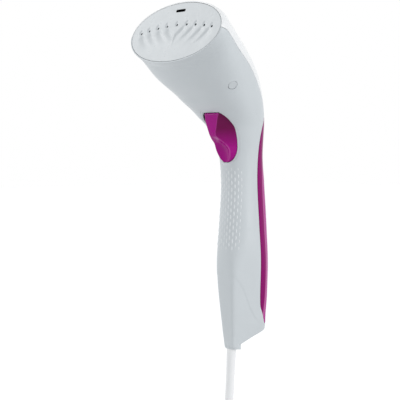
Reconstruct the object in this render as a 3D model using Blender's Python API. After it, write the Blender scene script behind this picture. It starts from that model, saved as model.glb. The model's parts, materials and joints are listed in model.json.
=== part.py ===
"""Handheld garment steamer: a steam head on an upright handle, with a trigger, a water tank and a mains lead.

Metres, +Z up along the handle. The steam plate faces -Y, the tank is on the +Y side, X = 0 is the middle plane.
The origin is the middle of the grip.
"""

import math

import bmesh
import bpy
from mathutils import Matrix, Vector

MM = 0.001
GAP = 0.3 * MM

# The outer skin: sections across the body, from the sole up to the front rim of the head, in millimetres.
# place, forward of the middle of the grip, height, forward tilt in degrees, reach to the front, reach to the
# back, half width, squareness of the front half, squareness of the back half
STATIONS = (
    (0.00, 0.5, -165.0, 0.0, 28.5, 26.5, 20.0, 2.3, 2.3),
    (0.06, 0.8, -145.0, 0.0, 30.0, 26.4, 21.5, 2.3, 2.3),
    (0.12, 0.8, -128.0, 0.0, 32.0, 26.0, 22.9, 2.3, 2.3),
    (0.20, 0.5, -105.0, 0.0, 33.0, 27.2, 24.4, 2.3, 2.3),
    (0.30, 0.3, -72.0, 0.0, 31.2, 28.6, 24.5, 2.3, 2.3),
    (0.42, 0.0, -25.0, 0.0, 27.3, 27.3, 21.9, 2.3, 2.3),
    (0.55, 0.2, 18.0, 0.0, 24.8, 24.6, 20.2, 2.3, 2.3),
    (0.65, 1.8, 50.0, 0.0, 24.6, 21.0, 22.6, 2.4, 2.3),
    (0.73, 6.0, 78.0, 5.0, 29.5, 22.6, 29.2, 2.8, 2.3),
    (0.80, 18.2, 102.0, 20.0, 30.0, 26.6, 40.0, 3.2, 2.3),
    (0.87, 39.0, 130.0, 40.0, 35.4, 33.6, 50.5, 2.8, 2.2),
    (0.94, 69.0, 154.0, 56.0, 34.8, 35.6, 64.0, 2.4, 2.1),
    (1.00, 93.4, 175.3, 69.5, 35.8, 35.8, 72.2, 2.0, 2.0),
    (1.03, 99.0, 177.4, 69.5, 34.8, 34.8, 71.4, 2.0, 2.0),
)
# Where the front shell ends and the cover or the tank begins: place along the body, degrees from the front
PARTING = (
    (0.092, 132.0),
    (0.138, 121.0),
    (0.163, 114.0),
    (0.21, 109.0),
    (0.28, 105.0),
    (0.37, 101.0),
    (0.50, 98.5),
    (0.61, 97.0),
    (0.67, 99.0),
    (0.71, 102.0),
    (0.735, 106.5),
    (0.76, 114.0),
    (0.78, 112.0),
    (0.80, 109.5),
    (0.83, 104.5),
    (0.856, 101.5),
    (0.88, 99.0),
    (0.933, 94.0),
    (0.96, 92.0),
    (1.00, 90.0),
    (1.03, 90.0),
)
FOOT_TOP = 0.092
TANK_TOP = 0.76
RIM = 1.03
PLACE_GAP = 0.0006
WALL = 2.2 * MM
RIM_WALL = 1.3 * MM
FRONT_COLUMNS = 12
REAR_COLUMNS = 9
COLUMNS = 2 * (FRONT_COLUMNS + REAR_COLUMNS)

# The foot is faceted: a flat front and two flat sides that close in towards the sole
FACET_TOP = -80.0
FACET_BOTTOM = -160.0
FACET_FRONT = (29.4, 22.4)
FACET_HALF = (14.2, 7.6)
FACET_SPLAY = 0.25
FACET_SHARPNESS = 14
SOLE_MIDDLE = -152.0
SOLE_SLOPE = 0.5

# The steam plate's frame: its centre, its lean back from upright and the half axes of the seam round it
PLATE_Y = -99.0 * MM
PLATE_Z = 177.4 * MM
PLATE_LEAN = math.radians(20.5)
PLATE_HALF_X = 69.0 * MM
PLATE_HALF_Y = 32.6 * MM
PLATE_THICK = 3.0 * MM
STEAM_HOLES = (0.0, 15.3 * MM, 29.6 * MM, 43.4 * MM, 55.6 * MM)
HOLE_RADIUS = 1.25 * MM
HOLE_ARC_TOP = 8.0 * MM
HOLE_ARC_DROP = 5.8 * MM
SLOT_Y = 24.3 * MM
SLOT_HALF = 6.0 * MM
SLOT_RADIUS = 1.6 * MM

# The trigger, from top to bottom, in millimetres: height, half width, forward edge at the side, half width
# and forward reach of the ridge, forward reach at the middle
TRIGGER = (
    (94.5, 11.6, 44.8, 9.4, 46.2, 46.3),
    (92.0, 15.5, 41.5, 9.2, 46.8, 47.0),
    (87.0, 19.0, 37.0, 8.4, 47.0, 47.2),
    (80.0, 20.0, 33.0, 6.8, 46.8, 47.0),
    (73.0, 19.2, 30.0, 5.0, 46.4, 46.6),
    (70.0, 18.5, 28.5, 4.6, 45.2, 45.2),
    (66.0, 17.5, 26.8, 5.6, 39.0, 37.5),
    (62.0, 16.3, 25.2, 8.2, 33.0, 30.4),
    (55.0, 14.3, 22.8, 10.4, 30.4, 27.2),
    (48.0, 11.4, 22.6, 8.6, 28.4, 26.0),
    (44.0, 7.9, 23.8, 6.0, 27.0, 25.6),
    (41.8, 3.6, 25.0, 2.6, 25.8, 25.4),
)
TRIGGER_BACK = 17.0 * MM
TRIGGER_BACK_SLOPE = 0.2
TRIGGER_CLEARANCE = 0.7 * MM
LEVER_AXIS = Vector((0.0, -12.3 * MM, 60.0 * MM))
LEVER_REST = math.radians(-10.0)
TRIGGER_AXIS = Vector((0.0, -31.5 * MM, 89.5 * MM))

# The tank
TANK_FRONT_Y = 0.2 * MM
TANK_WALL = 1.9 * MM
TANK_LIP = WALL + 0.5 * MM
OUTLET_Z = -108.0 * MM
FILLER_Z = 50.0 * MM
FILLER_HALF = 9.0 * MM
DOOR_TOP_DROP = 0.6 * MM

# The inner panel the tank slides against
PANEL_SCREWS = (-88.0 * MM, 36.5 * MM)

# The mains lead
CORD_RADIUS = 4.7 * MM
RELIEF_TOP = Vector((0.0, -16.3 * MM, -146.0 * MM))
RELIEF_LEAN = math.radians(-3.4)
RELIEF_LENGTH = 42.0 * MM
LEAD_ROUTE = (
    (0.0, -18.8, -188.3),
    (0.0, -20.0, -207.0),
    (0.0, -21.0, -222.0),
    (2.4, -22.2, -238.0),
    (6.6, -23.7, -246.0),
)
COIL_CENTRE = Vector((0.0, -16.0 * MM, -315.0 * MM))
COIL_RADIUS = 52.0 * MM
BUNDLE_RADIUS = 14.0 * MM
TIE_ANGLE = math.radians(150.0)


def paint(name, colour, roughness, metallic=0.0, transmission=0.0):
    """A plain material."""
    made = bpy.data.materials.new(name)
    made.use_nodes = True
    shader = made.node_tree.nodes["Principled BSDF"]
    shader.inputs["Base Color"].default_value = (*colour, 1.0)
    shader.inputs["Roughness"].default_value = roughness
    shader.inputs["Metallic"].default_value = metallic
    shader.inputs["Transmission Weight"].default_value = transmission
    made.diffuse_color = (*colour, 1.0)
    return made


def finish(obj, look, smooth=True, sharp=35.0, parent=None):
    """Gives an object its material, shading and parent."""
    if obj.data.materials:
        obj.data.materials[0] = look
    else:
        obj.data.materials.append(look)
    if smooth and obj.type == "MESH":
        obj.data.shade_smooth()
        obj.data.set_sharp_from_angle(angle=math.radians(sharp))
    obj.parent = parent
    return obj


def as_object(name, bm, at=None, turn=None):
    """Turns a bmesh into an object with its faces facing out."""
    bmesh.ops.remove_doubles(bm, verts=bm.verts, dist=0.00001)
    bmesh.ops.recalc_face_normals(bm, faces=bm.faces)
    mesh = bpy.data.meshes.new(name)
    bm.to_mesh(mesh)
    bm.free()
    obj = bpy.data.objects.new(name, mesh)
    bpy.context.collection.objects.link(obj)
    if at is not None:
        obj.location = at
    if turn is not None:
        obj.rotation_euler = turn
    return obj


def frame(name, at, turn):
    """An empty that carries a slanted frame."""
    empty = bpy.data.objects.new(name, None)
    bpy.context.collection.objects.link(empty)
    empty.location = at
    empty.rotation_euler = turn
    empty.empty_display_size = 0.02
    return empty


def add_box(bm, low, high):
    """Adds a block between two corners to a bmesh."""
    low, high = Vector(low), Vector(high)
    place = Matrix.Translation((low + high) / 2) @ Matrix.Diagonal((*(high - low), 1.0))
    return bmesh.ops.create_cube(bm, size=1.0, matrix=place)["verts"]


def add_rod(bm, start, end, radius, sides=20, end_radius=None):
    """Adds a closed cylinder or cone from one point to another to a bmesh."""
    start, end = Vector(start), Vector(end)
    along = end - start
    place = Matrix.Translation((start + end) / 2) @ along.to_track_quat("Z", "Y").to_matrix().to_4x4()
    bmesh.ops.create_cone(
        bm,
        cap_ends=True,
        segments=sides,
        radius1=radius,
        radius2=radius if end_radius is None else end_radius,
        depth=along.length,
        matrix=place,
    )


def block(name, low, high, look, parent=None, bevel=0.0):
    """A box between two corners, with its edges bevelled."""
    bm = bmesh.new()
    add_box(bm, low, high)
    if bevel:
        bmesh.ops.bevel(bm, geom=bm.edges[:], offset=bevel, segments=2, profile=0.5, affect="EDGES")
    return finish(as_object(name, bm), look, parent=parent)


def rod(name, start, end, radius, look, parent=None, sides=20, end_radius=None):
    """A plain cylinder or cone between two points."""
    bm = bmesh.new()
    add_rod(bm, start, end, radius, sides, end_radius)
    return finish(as_object(name, bm), look, parent=parent)


def turned(name, profile, look, at=(0, 0, 0), turn=(0, 0, 0), parent=None, steps=28, closed=False):
    """A turned part: radius and height pairs spun round Z. Closed profiles make rings."""
    bm = bmesh.new()
    rings = []
    for radius, height in profile:
        ring = []
        for k in range(steps):
            angle = 2 * math.pi * k / steps
            ring.append(bm.verts.new((radius * math.cos(angle), radius * math.sin(angle), height)))
        rings.append(ring)
    pairs = list(zip(rings, rings[1:]))
    if closed:
        pairs.append((rings[-1], rings[0]))
    for lower, upper in pairs:
        for k in range(steps):
            bm.faces.new((lower[k], lower[(k + 1) % steps], upper[(k + 1) % steps], upper[k]))
    if not closed:
        bm.faces.new(rings[0][::-1])
        bm.faces.new(rings[-1])
    return finish(as_object(name, bm, at, turn), look, parent=parent)


def tube(name, points, radius, look, parent=None, roundness=2):
    """A round tube with closed ends along a row of points."""
    curve = bpy.data.curves.new(name, "CURVE")
    curve.dimensions = "3D"
    curve.bevel_depth = radius
    curve.bevel_resolution = roundness
    curve.use_fill_caps = True
    line = curve.splines.new("POLY")
    line.points.add(len(points) - 1)
    for point, place in zip(line.points, points):
        point.co = (*place, 1.0)
    obj = bpy.data.objects.new(name, curve)
    bpy.context.collection.objects.link(obj)
    obj.data.materials.append(look)
    obj.parent = parent
    return obj


def bend_through(route, count):
    """Points spread along a smooth curve through a short route in millimetres."""
    steps = [0.0]
    for a, b in zip(route, route[1:]):
        steps.append(steps[-1] + (Vector(b) - Vector(a)).length)
    parts = [smooth_curve(steps, [p[axis] for p in route]) for axis in range(3)]
    places = [steps[-1] * k / (count - 1) for k in range(count)]
    return [Vector([part(s) for part in parts]) * MM for s in places]


def spring(name, start, end, radius, wire, turns, look, parent=None):
    """A coil spring between two points."""
    start, end = Vector(start), Vector(end)
    turn = (end - start).to_track_quat("Z", "Y").to_matrix()
    points = []
    steps = 10 * turns
    for k in range(steps + 1):
        angle = 2 * math.pi * turns * k / steps
        offset = Vector((radius * math.cos(angle), radius * math.sin(angle), (end - start).length * k / steps))
        points.append(start + turn @ offset)
    return tube(name, points, wire, look, parent, roundness=0)


def cutter(name, bm, parent=None):
    """A hidden body that a Boolean modifier uses."""
    obj = as_object(name, bm)
    obj.hide_render = True
    obj.display_type = "WIRE"
    obj.parent = parent
    return obj


def combine(obj, other, operation):
    """Adds a Boolean modifier."""
    step = obj.modifiers.new(other.name, "BOOLEAN")
    step.object = other
    step.operation = operation
    step.solver = "EXACT"
    return obj


def smooth_curve(xs, ys):
    """A curve through points that never overshoots them."""
    spans = [b - a for a, b in zip(xs, xs[1:])]
    slopes = [(b - a) / span for a, b, span in zip(ys, ys[1:], spans)]
    tangents = [slopes[0]]
    for k in range(1, len(slopes)):
        before, after = slopes[k - 1], slopes[k]
        if before * after <= 0:
            tangents.append(0.0)
            continue
        w1 = 2 * spans[k] + spans[k - 1]
        w2 = spans[k] + 2 * spans[k - 1]
        tangents.append((w1 + w2) / (w1 / before + w2 / after))
    tangents.append(slopes[-1])

    def value(x):
        k = 0
        while k < len(spans) - 1 and x > xs[k + 1]:
            k += 1
        s = (x - xs[k]) / spans[k]
        s = min(max(s, 0.0), 1.0)
        return (
            (2 * s**3 - 3 * s**2 + 1) * ys[k]
            + (s**3 - 2 * s**2 + s) * spans[k] * tangents[k]
            + (3 * s**2 - 2 * s**3) * ys[k + 1]
            + (s**3 - s**2) * spans[k] * tangents[k + 1]
        )

    return value


STATION_CURVES = [smooth_curve([row[0] for row in STATIONS], [row[k] for row in STATIONS]) for k in range(1, 9)]
PARTING_CURVE = smooth_curve([row[0] for row in PARTING], [row[1] for row in PARTING])


def mix(a, b, share):
    """The value between a and b."""
    return a + (b - a) * share


def facet_reach(reach, cos_a, sin_a, forward, height, inset):
    """Cuts a section's reach back to the flat front and the flat sides of the foot."""
    share = (height - FACET_TOP) / (FACET_BOTTOM - FACET_TOP)
    front = mix(*FACET_FRONT, share) * MM
    half = mix(*FACET_HALF, share) * MM
    total = reach**-FACET_SHARPNESS
    if cos_a > 0:
        total += (cos_a / (front - forward - inset)) ** FACET_SHARPNESS
    side = abs(sin_a) + FACET_SPLAY * cos_a
    if side > 0:
        total += (side / (half + FACET_SPLAY * (front - forward) - inset)) ** FACET_SHARPNESS
    return total ** (-1 / FACET_SHARPNESS)


def sole_height(y):
    """Height of the slanted sole at a depth."""
    return SOLE_MIDDLE * MM + SOLE_SLOPE * y


def skin_point(place, angle, inset=0.0):
    """The point of the skin at a place along the body and an angle from the front, drawn in by an inset."""
    forward, height, tilt, front, back, half, front_power, back_power = [c(place) for c in STATION_CURVES]
    cos_a, sin_a = math.cos(angle), math.sin(angle)
    power = front_power if cos_a > 0 else back_power
    reach = (front if cos_a > 0 else back) * MM - inset
    radius = (abs(cos_a / reach) ** power + abs(sin_a / (half * MM - inset)) ** power) ** (-1 / power)
    if height < FACET_TOP + 50:
        radius = facet_reach(radius, cos_a, sin_a, forward * MM, height, inset)
    tilt = math.radians(tilt)
    y = -(forward * MM + math.cos(tilt) * radius * cos_a)
    z = height * MM - math.sin(tilt) * radius * cos_a
    if place < FOOT_TOP:
        top = STATION_CURVES[1](FOOT_TOP) * MM
        z = mix(sole_height(y) + 1.12 * inset, top, place / FOOT_TOP)
    return Vector((radius * sin_a, y, z))


def section_radius(place, angle):
    """Distance from a section's middle to its skin."""
    forward = STATION_CURVES[0](place) * MM
    height = STATION_CURVES[1](place) * MM
    return (skin_point(place, angle) - Vector((0.0, -forward, height))).length


def parting_angle(place, shift):
    """Angle of the parting line at a place, moved round the skin by a distance."""
    angle = math.radians(PARTING_CURVE(max(place, FOOT_TOP)))
    return angle + shift / section_radius(place, angle)


def column_angle(column, place, shift):
    """Angle of a grid column: columns up to FRONT_COLUMNS are on the front shell."""
    side = 1
    if column > COLUMNS // 2:
        column, side = COLUMNS - column, -1
    limit = parting_angle(place, shift)
    if column <= FRONT_COLUMNS:
        return side * limit * column / FRONT_COLUMNS
    return side * mix(limit, math.pi, (column - FRONT_COLUMNS) / REAR_COLUMNS)


def spread(first, last, count):
    """Evenly spaced places, both ends included."""
    return [mix(first, last, k / (count - 1)) for k in range(count)]


TANK_PLACES = spread(FOOT_TOP, TANK_TOP, 22)
HEAD_PLACES = spread(TANK_TOP, 1.0, 12) + [RIM]


def skin_shell(name, places, cells, shift, look, floor=False):
    """A thick skin over the grid cells that are asked for, and a floor on its first row if wanted."""
    bm = bmesh.new()
    made = {}

    def corner(layer, row, column):
        key = (layer, row, column % COLUMNS)
        if key not in made:
            place = places[row]
            wall = RIM_WALL if place >= RIM else WALL
            angle = column_angle(key[2], place, shift)
            made[key] = bm.verts.new(skin_point(place, angle, layer * wall))
        return made[key]

    edges = {}
    for row, column in cells:
        ring = ((row, column), (row, column + 1), (row + 1, column + 1), (row + 1, column))
        bm.faces.new([corner(0, *c) for c in ring])
        bm.faces.new([corner(1, *c) for c in ring[::-1]])
        for a, b in zip(ring, ring[1:] + ring[:1]):
            a, b = (a[0], a[1] % COLUMNS), (b[0], b[1] % COLUMNS)
            if (b, a) in edges:
                del edges[(b, a)]
            else:
                edges[(a, b)] = True
    for a, b in edges:
        if floor and a[0] == 0 and b[0] == 0:
            continue
        bm.faces.new((corner(0, *b), corner(0, *a), corner(1, *a), corner(1, *b)))
    if floor:
        bm.faces.new([corner(0, 0, column) for column in range(COLUMNS)][::-1])
        bm.faces.new([corner(1, 0, column) for column in range(COLUMNS)])
    return finish(as_object(name, bm), look, sharp=40.0)


def trigger_outline(grow):
    """Half outline of the trigger from top to bottom, as half width and height."""
    rows = [(row[1] * MM + grow, row[0] * MM) for row in TRIGGER]
    rows[0] = (rows[0][0], rows[0][1] + grow)
    rows[-1] = (rows[-1][0], rows[-1][1] - grow)
    return rows


def prism(bm, outline, y_low, y_high):
    """Adds an upright outline of x and z pairs, pushed along Y, to a bmesh."""
    near = [bm.verts.new((x, y_low, z)) for x, z in outline]
    far = [bm.verts.new((x, y_high, z)) for x, z in outline]
    bm.faces.new(near)
    bm.faces.new(far[::-1])
    for k in range(len(outline)):
        n = (k + 1) % len(outline)
        bm.faces.new((near[k], far[k], far[n], near[n]))


def front_shell(look, sole):
    """The grey shell: the head's front, the whole front of the handle and the foot, with its openings."""
    places = spread(0.0, FOOT_TOP, 4)[:-1] + TANK_PLACES[:-1] + HEAD_PLACES
    cells = []
    for row in range(len(places) - 1):
        if places[row + 1] <= FOOT_TOP + 1e-9:
            cells += [(row, column) for column in range(COLUMNS)]
        else:
            cells += [(row, column % COLUMNS) for column in range(-FRONT_COLUMNS, FRONT_COLUMNS)]
    shell = skin_shell("front_shell", places, cells, -GAP / 2, look, floor=True)

    boss = bmesh.new()
    add_rod(boss, (0, -14.6 * MM, -162.3 * MM), (0, -14.6 * MM, -150.5 * MM), 8.3 * MM, 28)
    bmesh.ops.scale(boss, verts=boss.verts, vec=(1.1, 1.0, 1.0))
    combine(shell, cutter("boss_body", boss), "UNION")

    openings = bmesh.new()
    half = trigger_outline(TRIGGER_CLEARANCE)
    prism(openings, half + [(-x, z) for x, z in half[::-1]], -62 * MM, -12 * MM)
    lens_at, lens_out = indicator_place()
    add_rod(openings, lens_at - lens_out * 5 * MM, lens_at + lens_out * 5 * MM, 5.3 * MM, 28)
    lean = Vector((0, math.sin(RELIEF_LEAN), -math.cos(RELIEF_LEAN)))
    add_rod(openings, RELIEF_TOP - lean * 2 * MM, RELIEF_TOP + lean * 24 * MM, 5.4 * MM, 24)
    combine(shell, cutter("shell_openings", openings), "DIFFERENCE")

    latch = bmesh.new()
    add_box(latch, (-7.0 * MM, -9.5 * MM, -4 * MM), (7.0 * MM, 9.5 * MM, 6 * MM))
    combine(shell, cutter("latch_opening", latch, sole), "DIFFERENCE")
    return shell


def rear_cover(look):
    """The pale cover over the back and the top of the head."""
    places = [TANK_TOP + PLACE_GAP] + HEAD_PLACES[1:]
    cells = [
        (row, column) for row in range(len(places) - 1) for column in range(FRONT_COLUMNS, COLUMNS - FRONT_COLUMNS)
    ]
    return skin_shell("rear_cover", places, cells, GAP / 2, look)


def tank_side(place):
    """Half width of the tank's body, which passes inside the front shell's edges."""
    angles = (parting_angle(place, GAP / 2), math.radians(95.0), math.radians(90.0))
    return min(skin_point(place, angle, TANK_LIP).x for angle in angles)


def tank_ring(place, outer):
    """One section of the tank: its curved back, its sides and its flat front."""
    side = tank_side(place)
    if outer:
        first = parting_angle(place, GAP / 2)
        inset = 0.0
        y_front = TANK_FRONT_Y
    else:
        inset = TANK_WALL
        y_front = TANK_FRONT_Y + TANK_WALL
        side -= TANK_WALL
        low, high = parting_angle(place, GAP / 2), math.pi
        for _ in range(30):
            middle = (low + high) / 2
            if skin_point(place, middle, inset).x > side:
                low = middle
            else:
                high = middle
        first = high
    count = 2 * REAR_COLUMNS
    arc = [skin_point(place, mix(first, 2 * math.pi - first, k / count), inset) for k in range(count + 1)]
    height = STATION_CURVES[1](place) * MM
    tilt = math.tan(math.radians(STATION_CURVES[2](place)))
    forward = STATION_CURVES[0](place) * MM

    def level(y):
        return height + tilt * (y + forward)

    ring = arc
    if outer:
        near = skin_point(place, first, TANK_LIP)
        near.x = side
        ring = ring + [Vector((-near.x, near.y, near.z))]
    ring = ring + [Vector((-side, y_front, level(y_front))), Vector((side, y_front, level(y_front)))]
    if outer:
        ring.append(near)
    return ring


def loft(bm, rings):
    """Joins rings of equal length into a closed body with flat ends."""
    rows = [[bm.verts.new(p) for p in ring] for ring in rings]
    for lower, upper in zip(rows, rows[1:]):
        for k in range(len(lower)):
            n = (k + 1) % len(lower)
            bm.faces.new((lower[k], lower[n], upper[n], upper[k]))
    bm.faces.new(rows[0][::-1])
    bm.faces.new(rows[-1])


def tank_body(bm, outer):
    """The tank's outer body, or the water space inside it."""
    first, last = FOOT_TOP + 2 * PLACE_GAP, TANK_TOP - PLACE_GAP
    places = [first] + TANK_PLACES[1:-1] + [last]
    if not outer:
        places = [first + 0.02] + TANK_PLACES[2:-1] + [last - 0.012]
    loft(bm, [tank_ring(place, outer) for place in places])


def door_outline(grow, drop):
    """Outline of the filler door, as x and z pairs: round at the bottom, its top edge lowered by a drop."""
    half = FILLER_HALF + grow
    top = FILLER_Z + FILLER_HALF + grow - drop
    points = [(half, top), (-half, top)]
    for k in range(9):
        angle = math.pi * (1 + k / 8)
        points.append((half * math.cos(angle), FILLER_Z + half * math.sin(angle)))
    return points


def water_tank(look):
    """The clear tank: a hollow body with a filler mouth, a recess for its door and an outlet."""
    bm = bmesh.new()
    tank_body(bm, True)
    tank = finish(as_object("water_tank", bm), look, sharp=40.0)
    inside = bmesh.new()
    tank_body(inside, False)
    combine(tank, cutter("tank_space", inside), "DIFFERENCE")
    holes = bmesh.new()
    back = tank_back(FILLER_Z)
    prism(holes, door_outline(0.3 * MM, 0.0), back - 3.6 * MM, back + 4 * MM)
    combine(tank, cutter("door_recess", holes), "DIFFERENCE")
    bores = bmesh.new()
    add_rod(bores, (0, back - 12 * MM, FILLER_Z - 1.5 * MM), (0, back, FILLER_Z - 1.5 * MM), 6.0 * MM, 24)
    add_rod(bores, (0, -3 * MM, OUTLET_Z), (0, 5 * MM, OUTLET_Z), 3.4 * MM, 20)
    add_box(bores, (-4.5 * MM, 2.2 * MM, -140 * MM), (4.5 * MM, 10.5 * MM, -132.6 * MM))
    combine(tank, cutter("tank_bores", bores), "DIFFERENCE")
    return tank


def tank_back(height):
    """Y of the tank's back at a height on the handle."""
    low, high = 0.3, 0.73
    for _ in range(30):
        middle = (low + high) / 2
        if STATION_CURVES[1](middle) * MM < height:
            low = middle
        else:
            high = middle
    return skin_point(low, math.pi).y


def tank_door(look, pin_look):
    """The hinged filler door, flush with the tank's back, and its pin."""
    back = tank_back(FILLER_Z)
    bm = bmesh.new()
    prism(bm, door_outline(-0.1 * MM, DOOR_TOP_DROP), back - 3.2 * MM, back + 4 * MM)
    axis_y = back - 1.3 * MM
    axis_z = FILLER_Z + FILLER_HALF - DOOR_TOP_DROP - 1.1 * MM
    door = as_object("tank_filler_door", bm)
    skin = bmesh.new()
    tank_body(skin, True)
    combine(door, cutter("door_skin", skin), "INTERSECT")
    hollow = bmesh.new()
    add_rod(hollow, (-12 * MM, axis_y, axis_z), (12 * MM, axis_y, axis_z), 0.6 * MM, 12)
    combine(door, cutter("door_pin_bore", hollow), "DIFFERENCE")
    finish(door, look)
    rod("door_pin", (-9.1 * MM, axis_y, axis_z), (9.1 * MM, axis_y, axis_z), 0.35 * MM, pin_look, sides=10)


def handle_panel(look):
    """The inner panel that closes the front of the handle behind the tank."""
    bm = bmesh.new()
    rings = []
    for place in spread(0.12, 0.70, 12):
        height = STATION_CURVES[1](place) * MM
        half = min(skin_point(place, math.radians(angle), WALL + 0.6 * MM).x for angle in (82.0, 86.0, 90.0))
        corners = ((-half, -2.2), (half, -2.2), (half, -0.2), (-half, -0.2))
        rings.append([Vector((x, y * MM, height)) for x, y in corners])
    loft(bm, rings)
    panel = finish(as_object("handle_panel", bm), look)
    holes = bmesh.new()
    add_rod(holes, (0, -6 * MM, OUTLET_Z), (0, 3 * MM, OUTLET_Z), 6.6 * MM, 24)
    for z in PANEL_SCREWS:
        add_rod(holes, (0, -6 * MM, z), (0, 3 * MM, z), 1.6 * MM, 12)
    combine(panel, cutter("panel_holes", holes), "DIFFERENCE")


def screws(look):
    """Screws through the panel, heads to the rear."""
    for name, z in zip(("panel_screw_lower", "panel_screw_upper"), PANEL_SCREWS):
        turned(
            name,
            ((1.2 * MM, 0.0), (1.2 * MM, 8.4 * MM)),
            look,
            at=(0, -8.4 * MM, z),
            turn=(-math.pi / 2, 0, 0),
            steps=12,
        )
    for name, x in (("clamp_screw_left", -5.6 * MM), ("clamp_screw_right", 5.6 * MM)):
        turned(
            name,
            ((1.1 * MM, 0.0), (1.1 * MM, 8.2 * MM), (2.3 * MM, 8.2 * MM), (2.3 * MM, 10.0 * MM)),
            look,
            at=(x, -4.6 * MM, -150.2 * MM),
            steps=12,
        )


def dock(rubber, plastic):
    """The socket that the tank's outlet plugs into, its seal and the outlet."""
    face = (math.pi / 2, 0, 0)
    turned(
        "dock_socket",
        (
            (6.2 * MM, 0.0),
            (6.2 * MM, 9.0 * MM),
            (2.0 * MM, 9.0 * MM),
            (2.0 * MM, 13.0 * MM),
            (1.1 * MM, 13.0 * MM),
            (1.1 * MM, 7.0 * MM),
            (4.3 * MM, 7.0 * MM),
            (4.3 * MM, 0.0),
        ),
        plastic,
        at=(0, -0.5 * MM, OUTLET_Z),
        turn=face,
        closed=True,
        steps=20,
    )
    seal = [
        ((3.7 + 0.45 * math.cos(k * math.pi / 3)) * MM, 0.45 * math.sin(k * math.pi / 3) * MM) for k in range(6)
    ]
    turned("dock_seal", seal, rubber, at=(0, -2.0 * MM, OUTLET_Z), turn=face, closed=True, steps=18)
    turned(
        "tank_outlet_valve",
        (
            (1.4 * MM, 0.0),
            (4.6 * MM, 0.0),
            (4.6 * MM, 1.6 * MM),
            (3.1 * MM, 1.6 * MM),
            (3.1 * MM, 5.4 * MM),
            (2.9 * MM, 5.4 * MM),
            (2.9 * MM, 9.6 * MM),
            (1.4 * MM, 9.6 * MM),
        ),
        plastic,
        at=(0, 4.1 * MM, OUTLET_Z),
        turn=face,
        closed=True,
        steps=18,
    )


def tank_release(look, metal, sole):
    """The release slide in the sole, with its hook, and its return spring."""
    bm = bmesh.new()
    add_box(bm, (-6.6 * MM, -4.6 * MM, -1.3 * MM), (6.6 * MM, 9.1 * MM, 2.9 * MM))
    bmesh.ops.bevel(bm, geom=bm.edges[:], offset=0.6 * MM, segments=1, profile=0.5, affect="EDGES")
    slide = finish(as_object("tank_release", bm), look, parent=sole)
    hook = bmesh.new()
    low = sole.matrix_world.inverted() @ Vector((0, 12.3 * MM, -146.0 * MM))
    add_box(hook, (-3.5 * MM, low.y - 1.6 * MM, 1.5 * MM), (3.5 * MM, low.y + 1.6 * MM, 10.0 * MM))
    combine(slide, cutter("hook_body", hook, sole), "UNION")
    spring("release_spring", (0, -1.1 * MM, -142.6 * MM), (0, 8.5 * MM, -142.6 * MM), 1.7 * MM, 0.3 * MM, 5, metal)


def trigger_rings(back_shift):
    """Sections of the trigger at each height: the front across, then the back."""
    rings = []
    for z, half, edge, ridge, reach, middle in TRIGGER:
        across = []
        for x in (0.0, 0.5, 1.0):
            across.append((ridge * x, mix(middle, reach, x**2)))
        for share in (0.35, 0.7, 1.0):
            across.append((mix(ridge, half, share), mix(reach, edge, share)))
        front = [(-x, u) for x, u in across[:0:-1]] + across
        back = -(TRIGGER_BACK + TRIGGER_BACK_SLOPE * (z * MM - TRIGGER[-1][0] * MM)) + back_shift
        ring = [Vector((x * MM, -u * MM, z * MM)) for x, u in front]
        ring += [Vector((half * MM, back, z * MM)), Vector((-half * MM, back, z * MM))]
        rings.append(ring)
    return rings


def trigger(look, metal, inner):
    """The trigger, its pin, the bracket that carries it and its return spring."""
    bm = bmesh.new()
    loft(bm, [[p - TRIGGER_AXIS for p in ring] for ring in trigger_rings(0.0)[::-1]])
    nub = bmesh.new()
    body = as_object("trigger", bm, at=TRIGGER_AXIS)
    add_rod(nub, (0, -22 * MM, 47 * MM), (0, -16.0 * MM, 47 * MM), 1.8 * MM, 12)
    combine(body, cutter("trigger_nub", nub), "UNION")
    bore = bmesh.new()
    y, z = TRIGGER_AXIS.y, TRIGGER_AXIS.z
    add_rod(bore, (-25 * MM, y, z), (25 * MM, y, z), 1.75 * MM, 16)
    add_rod(bore, (0, -25.6 * MM, 72 * MM), (0, -18.0 * MM, 72 * MM), 3.6 * MM, 16)
    combine(body, cutter("trigger_bore", bore), "DIFFERENCE")
    finish(body, look, sharp=28.0)
    rod("trigger_pin", (-23.0 * MM, y, z), (23.0 * MM, y, z), 1.4 * MM, metal, sides=14)

    yoke = bmesh.new()
    add_box(yoke, (-22.6 * MM, -35 * MM, 97 * MM), (22.6 * MM, -27.6 * MM, 99.4 * MM))
    bracket = as_object("trigger_bracket", yoke)
    ears = bmesh.new()
    for side in (-1, 1):
        x = sorted((side * 20.6 * MM, side * 22.4 * MM))
        add_box(ears, (x[0], -34.8 * MM, 85.5 * MM), (x[1], -27.8 * MM, 98.6 * MM))
    combine(bracket, cutter("bracket_ears", ears), "UNION")
    hole = bmesh.new()
    add_rod(hole, (-25 * MM, y, z), (25 * MM, y, z), 1.75 * MM, 16)
    combine(bracket, cutter("bracket_bore", hole), "DIFFERENCE")
    finish(bracket, inner)
    spring("trigger_spring", (0, -7.0 * MM, 72 * MM), (0, -24.6 * MM, 72 * MM), 2.6 * MM, 0.4 * MM, 5, metal)


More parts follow.
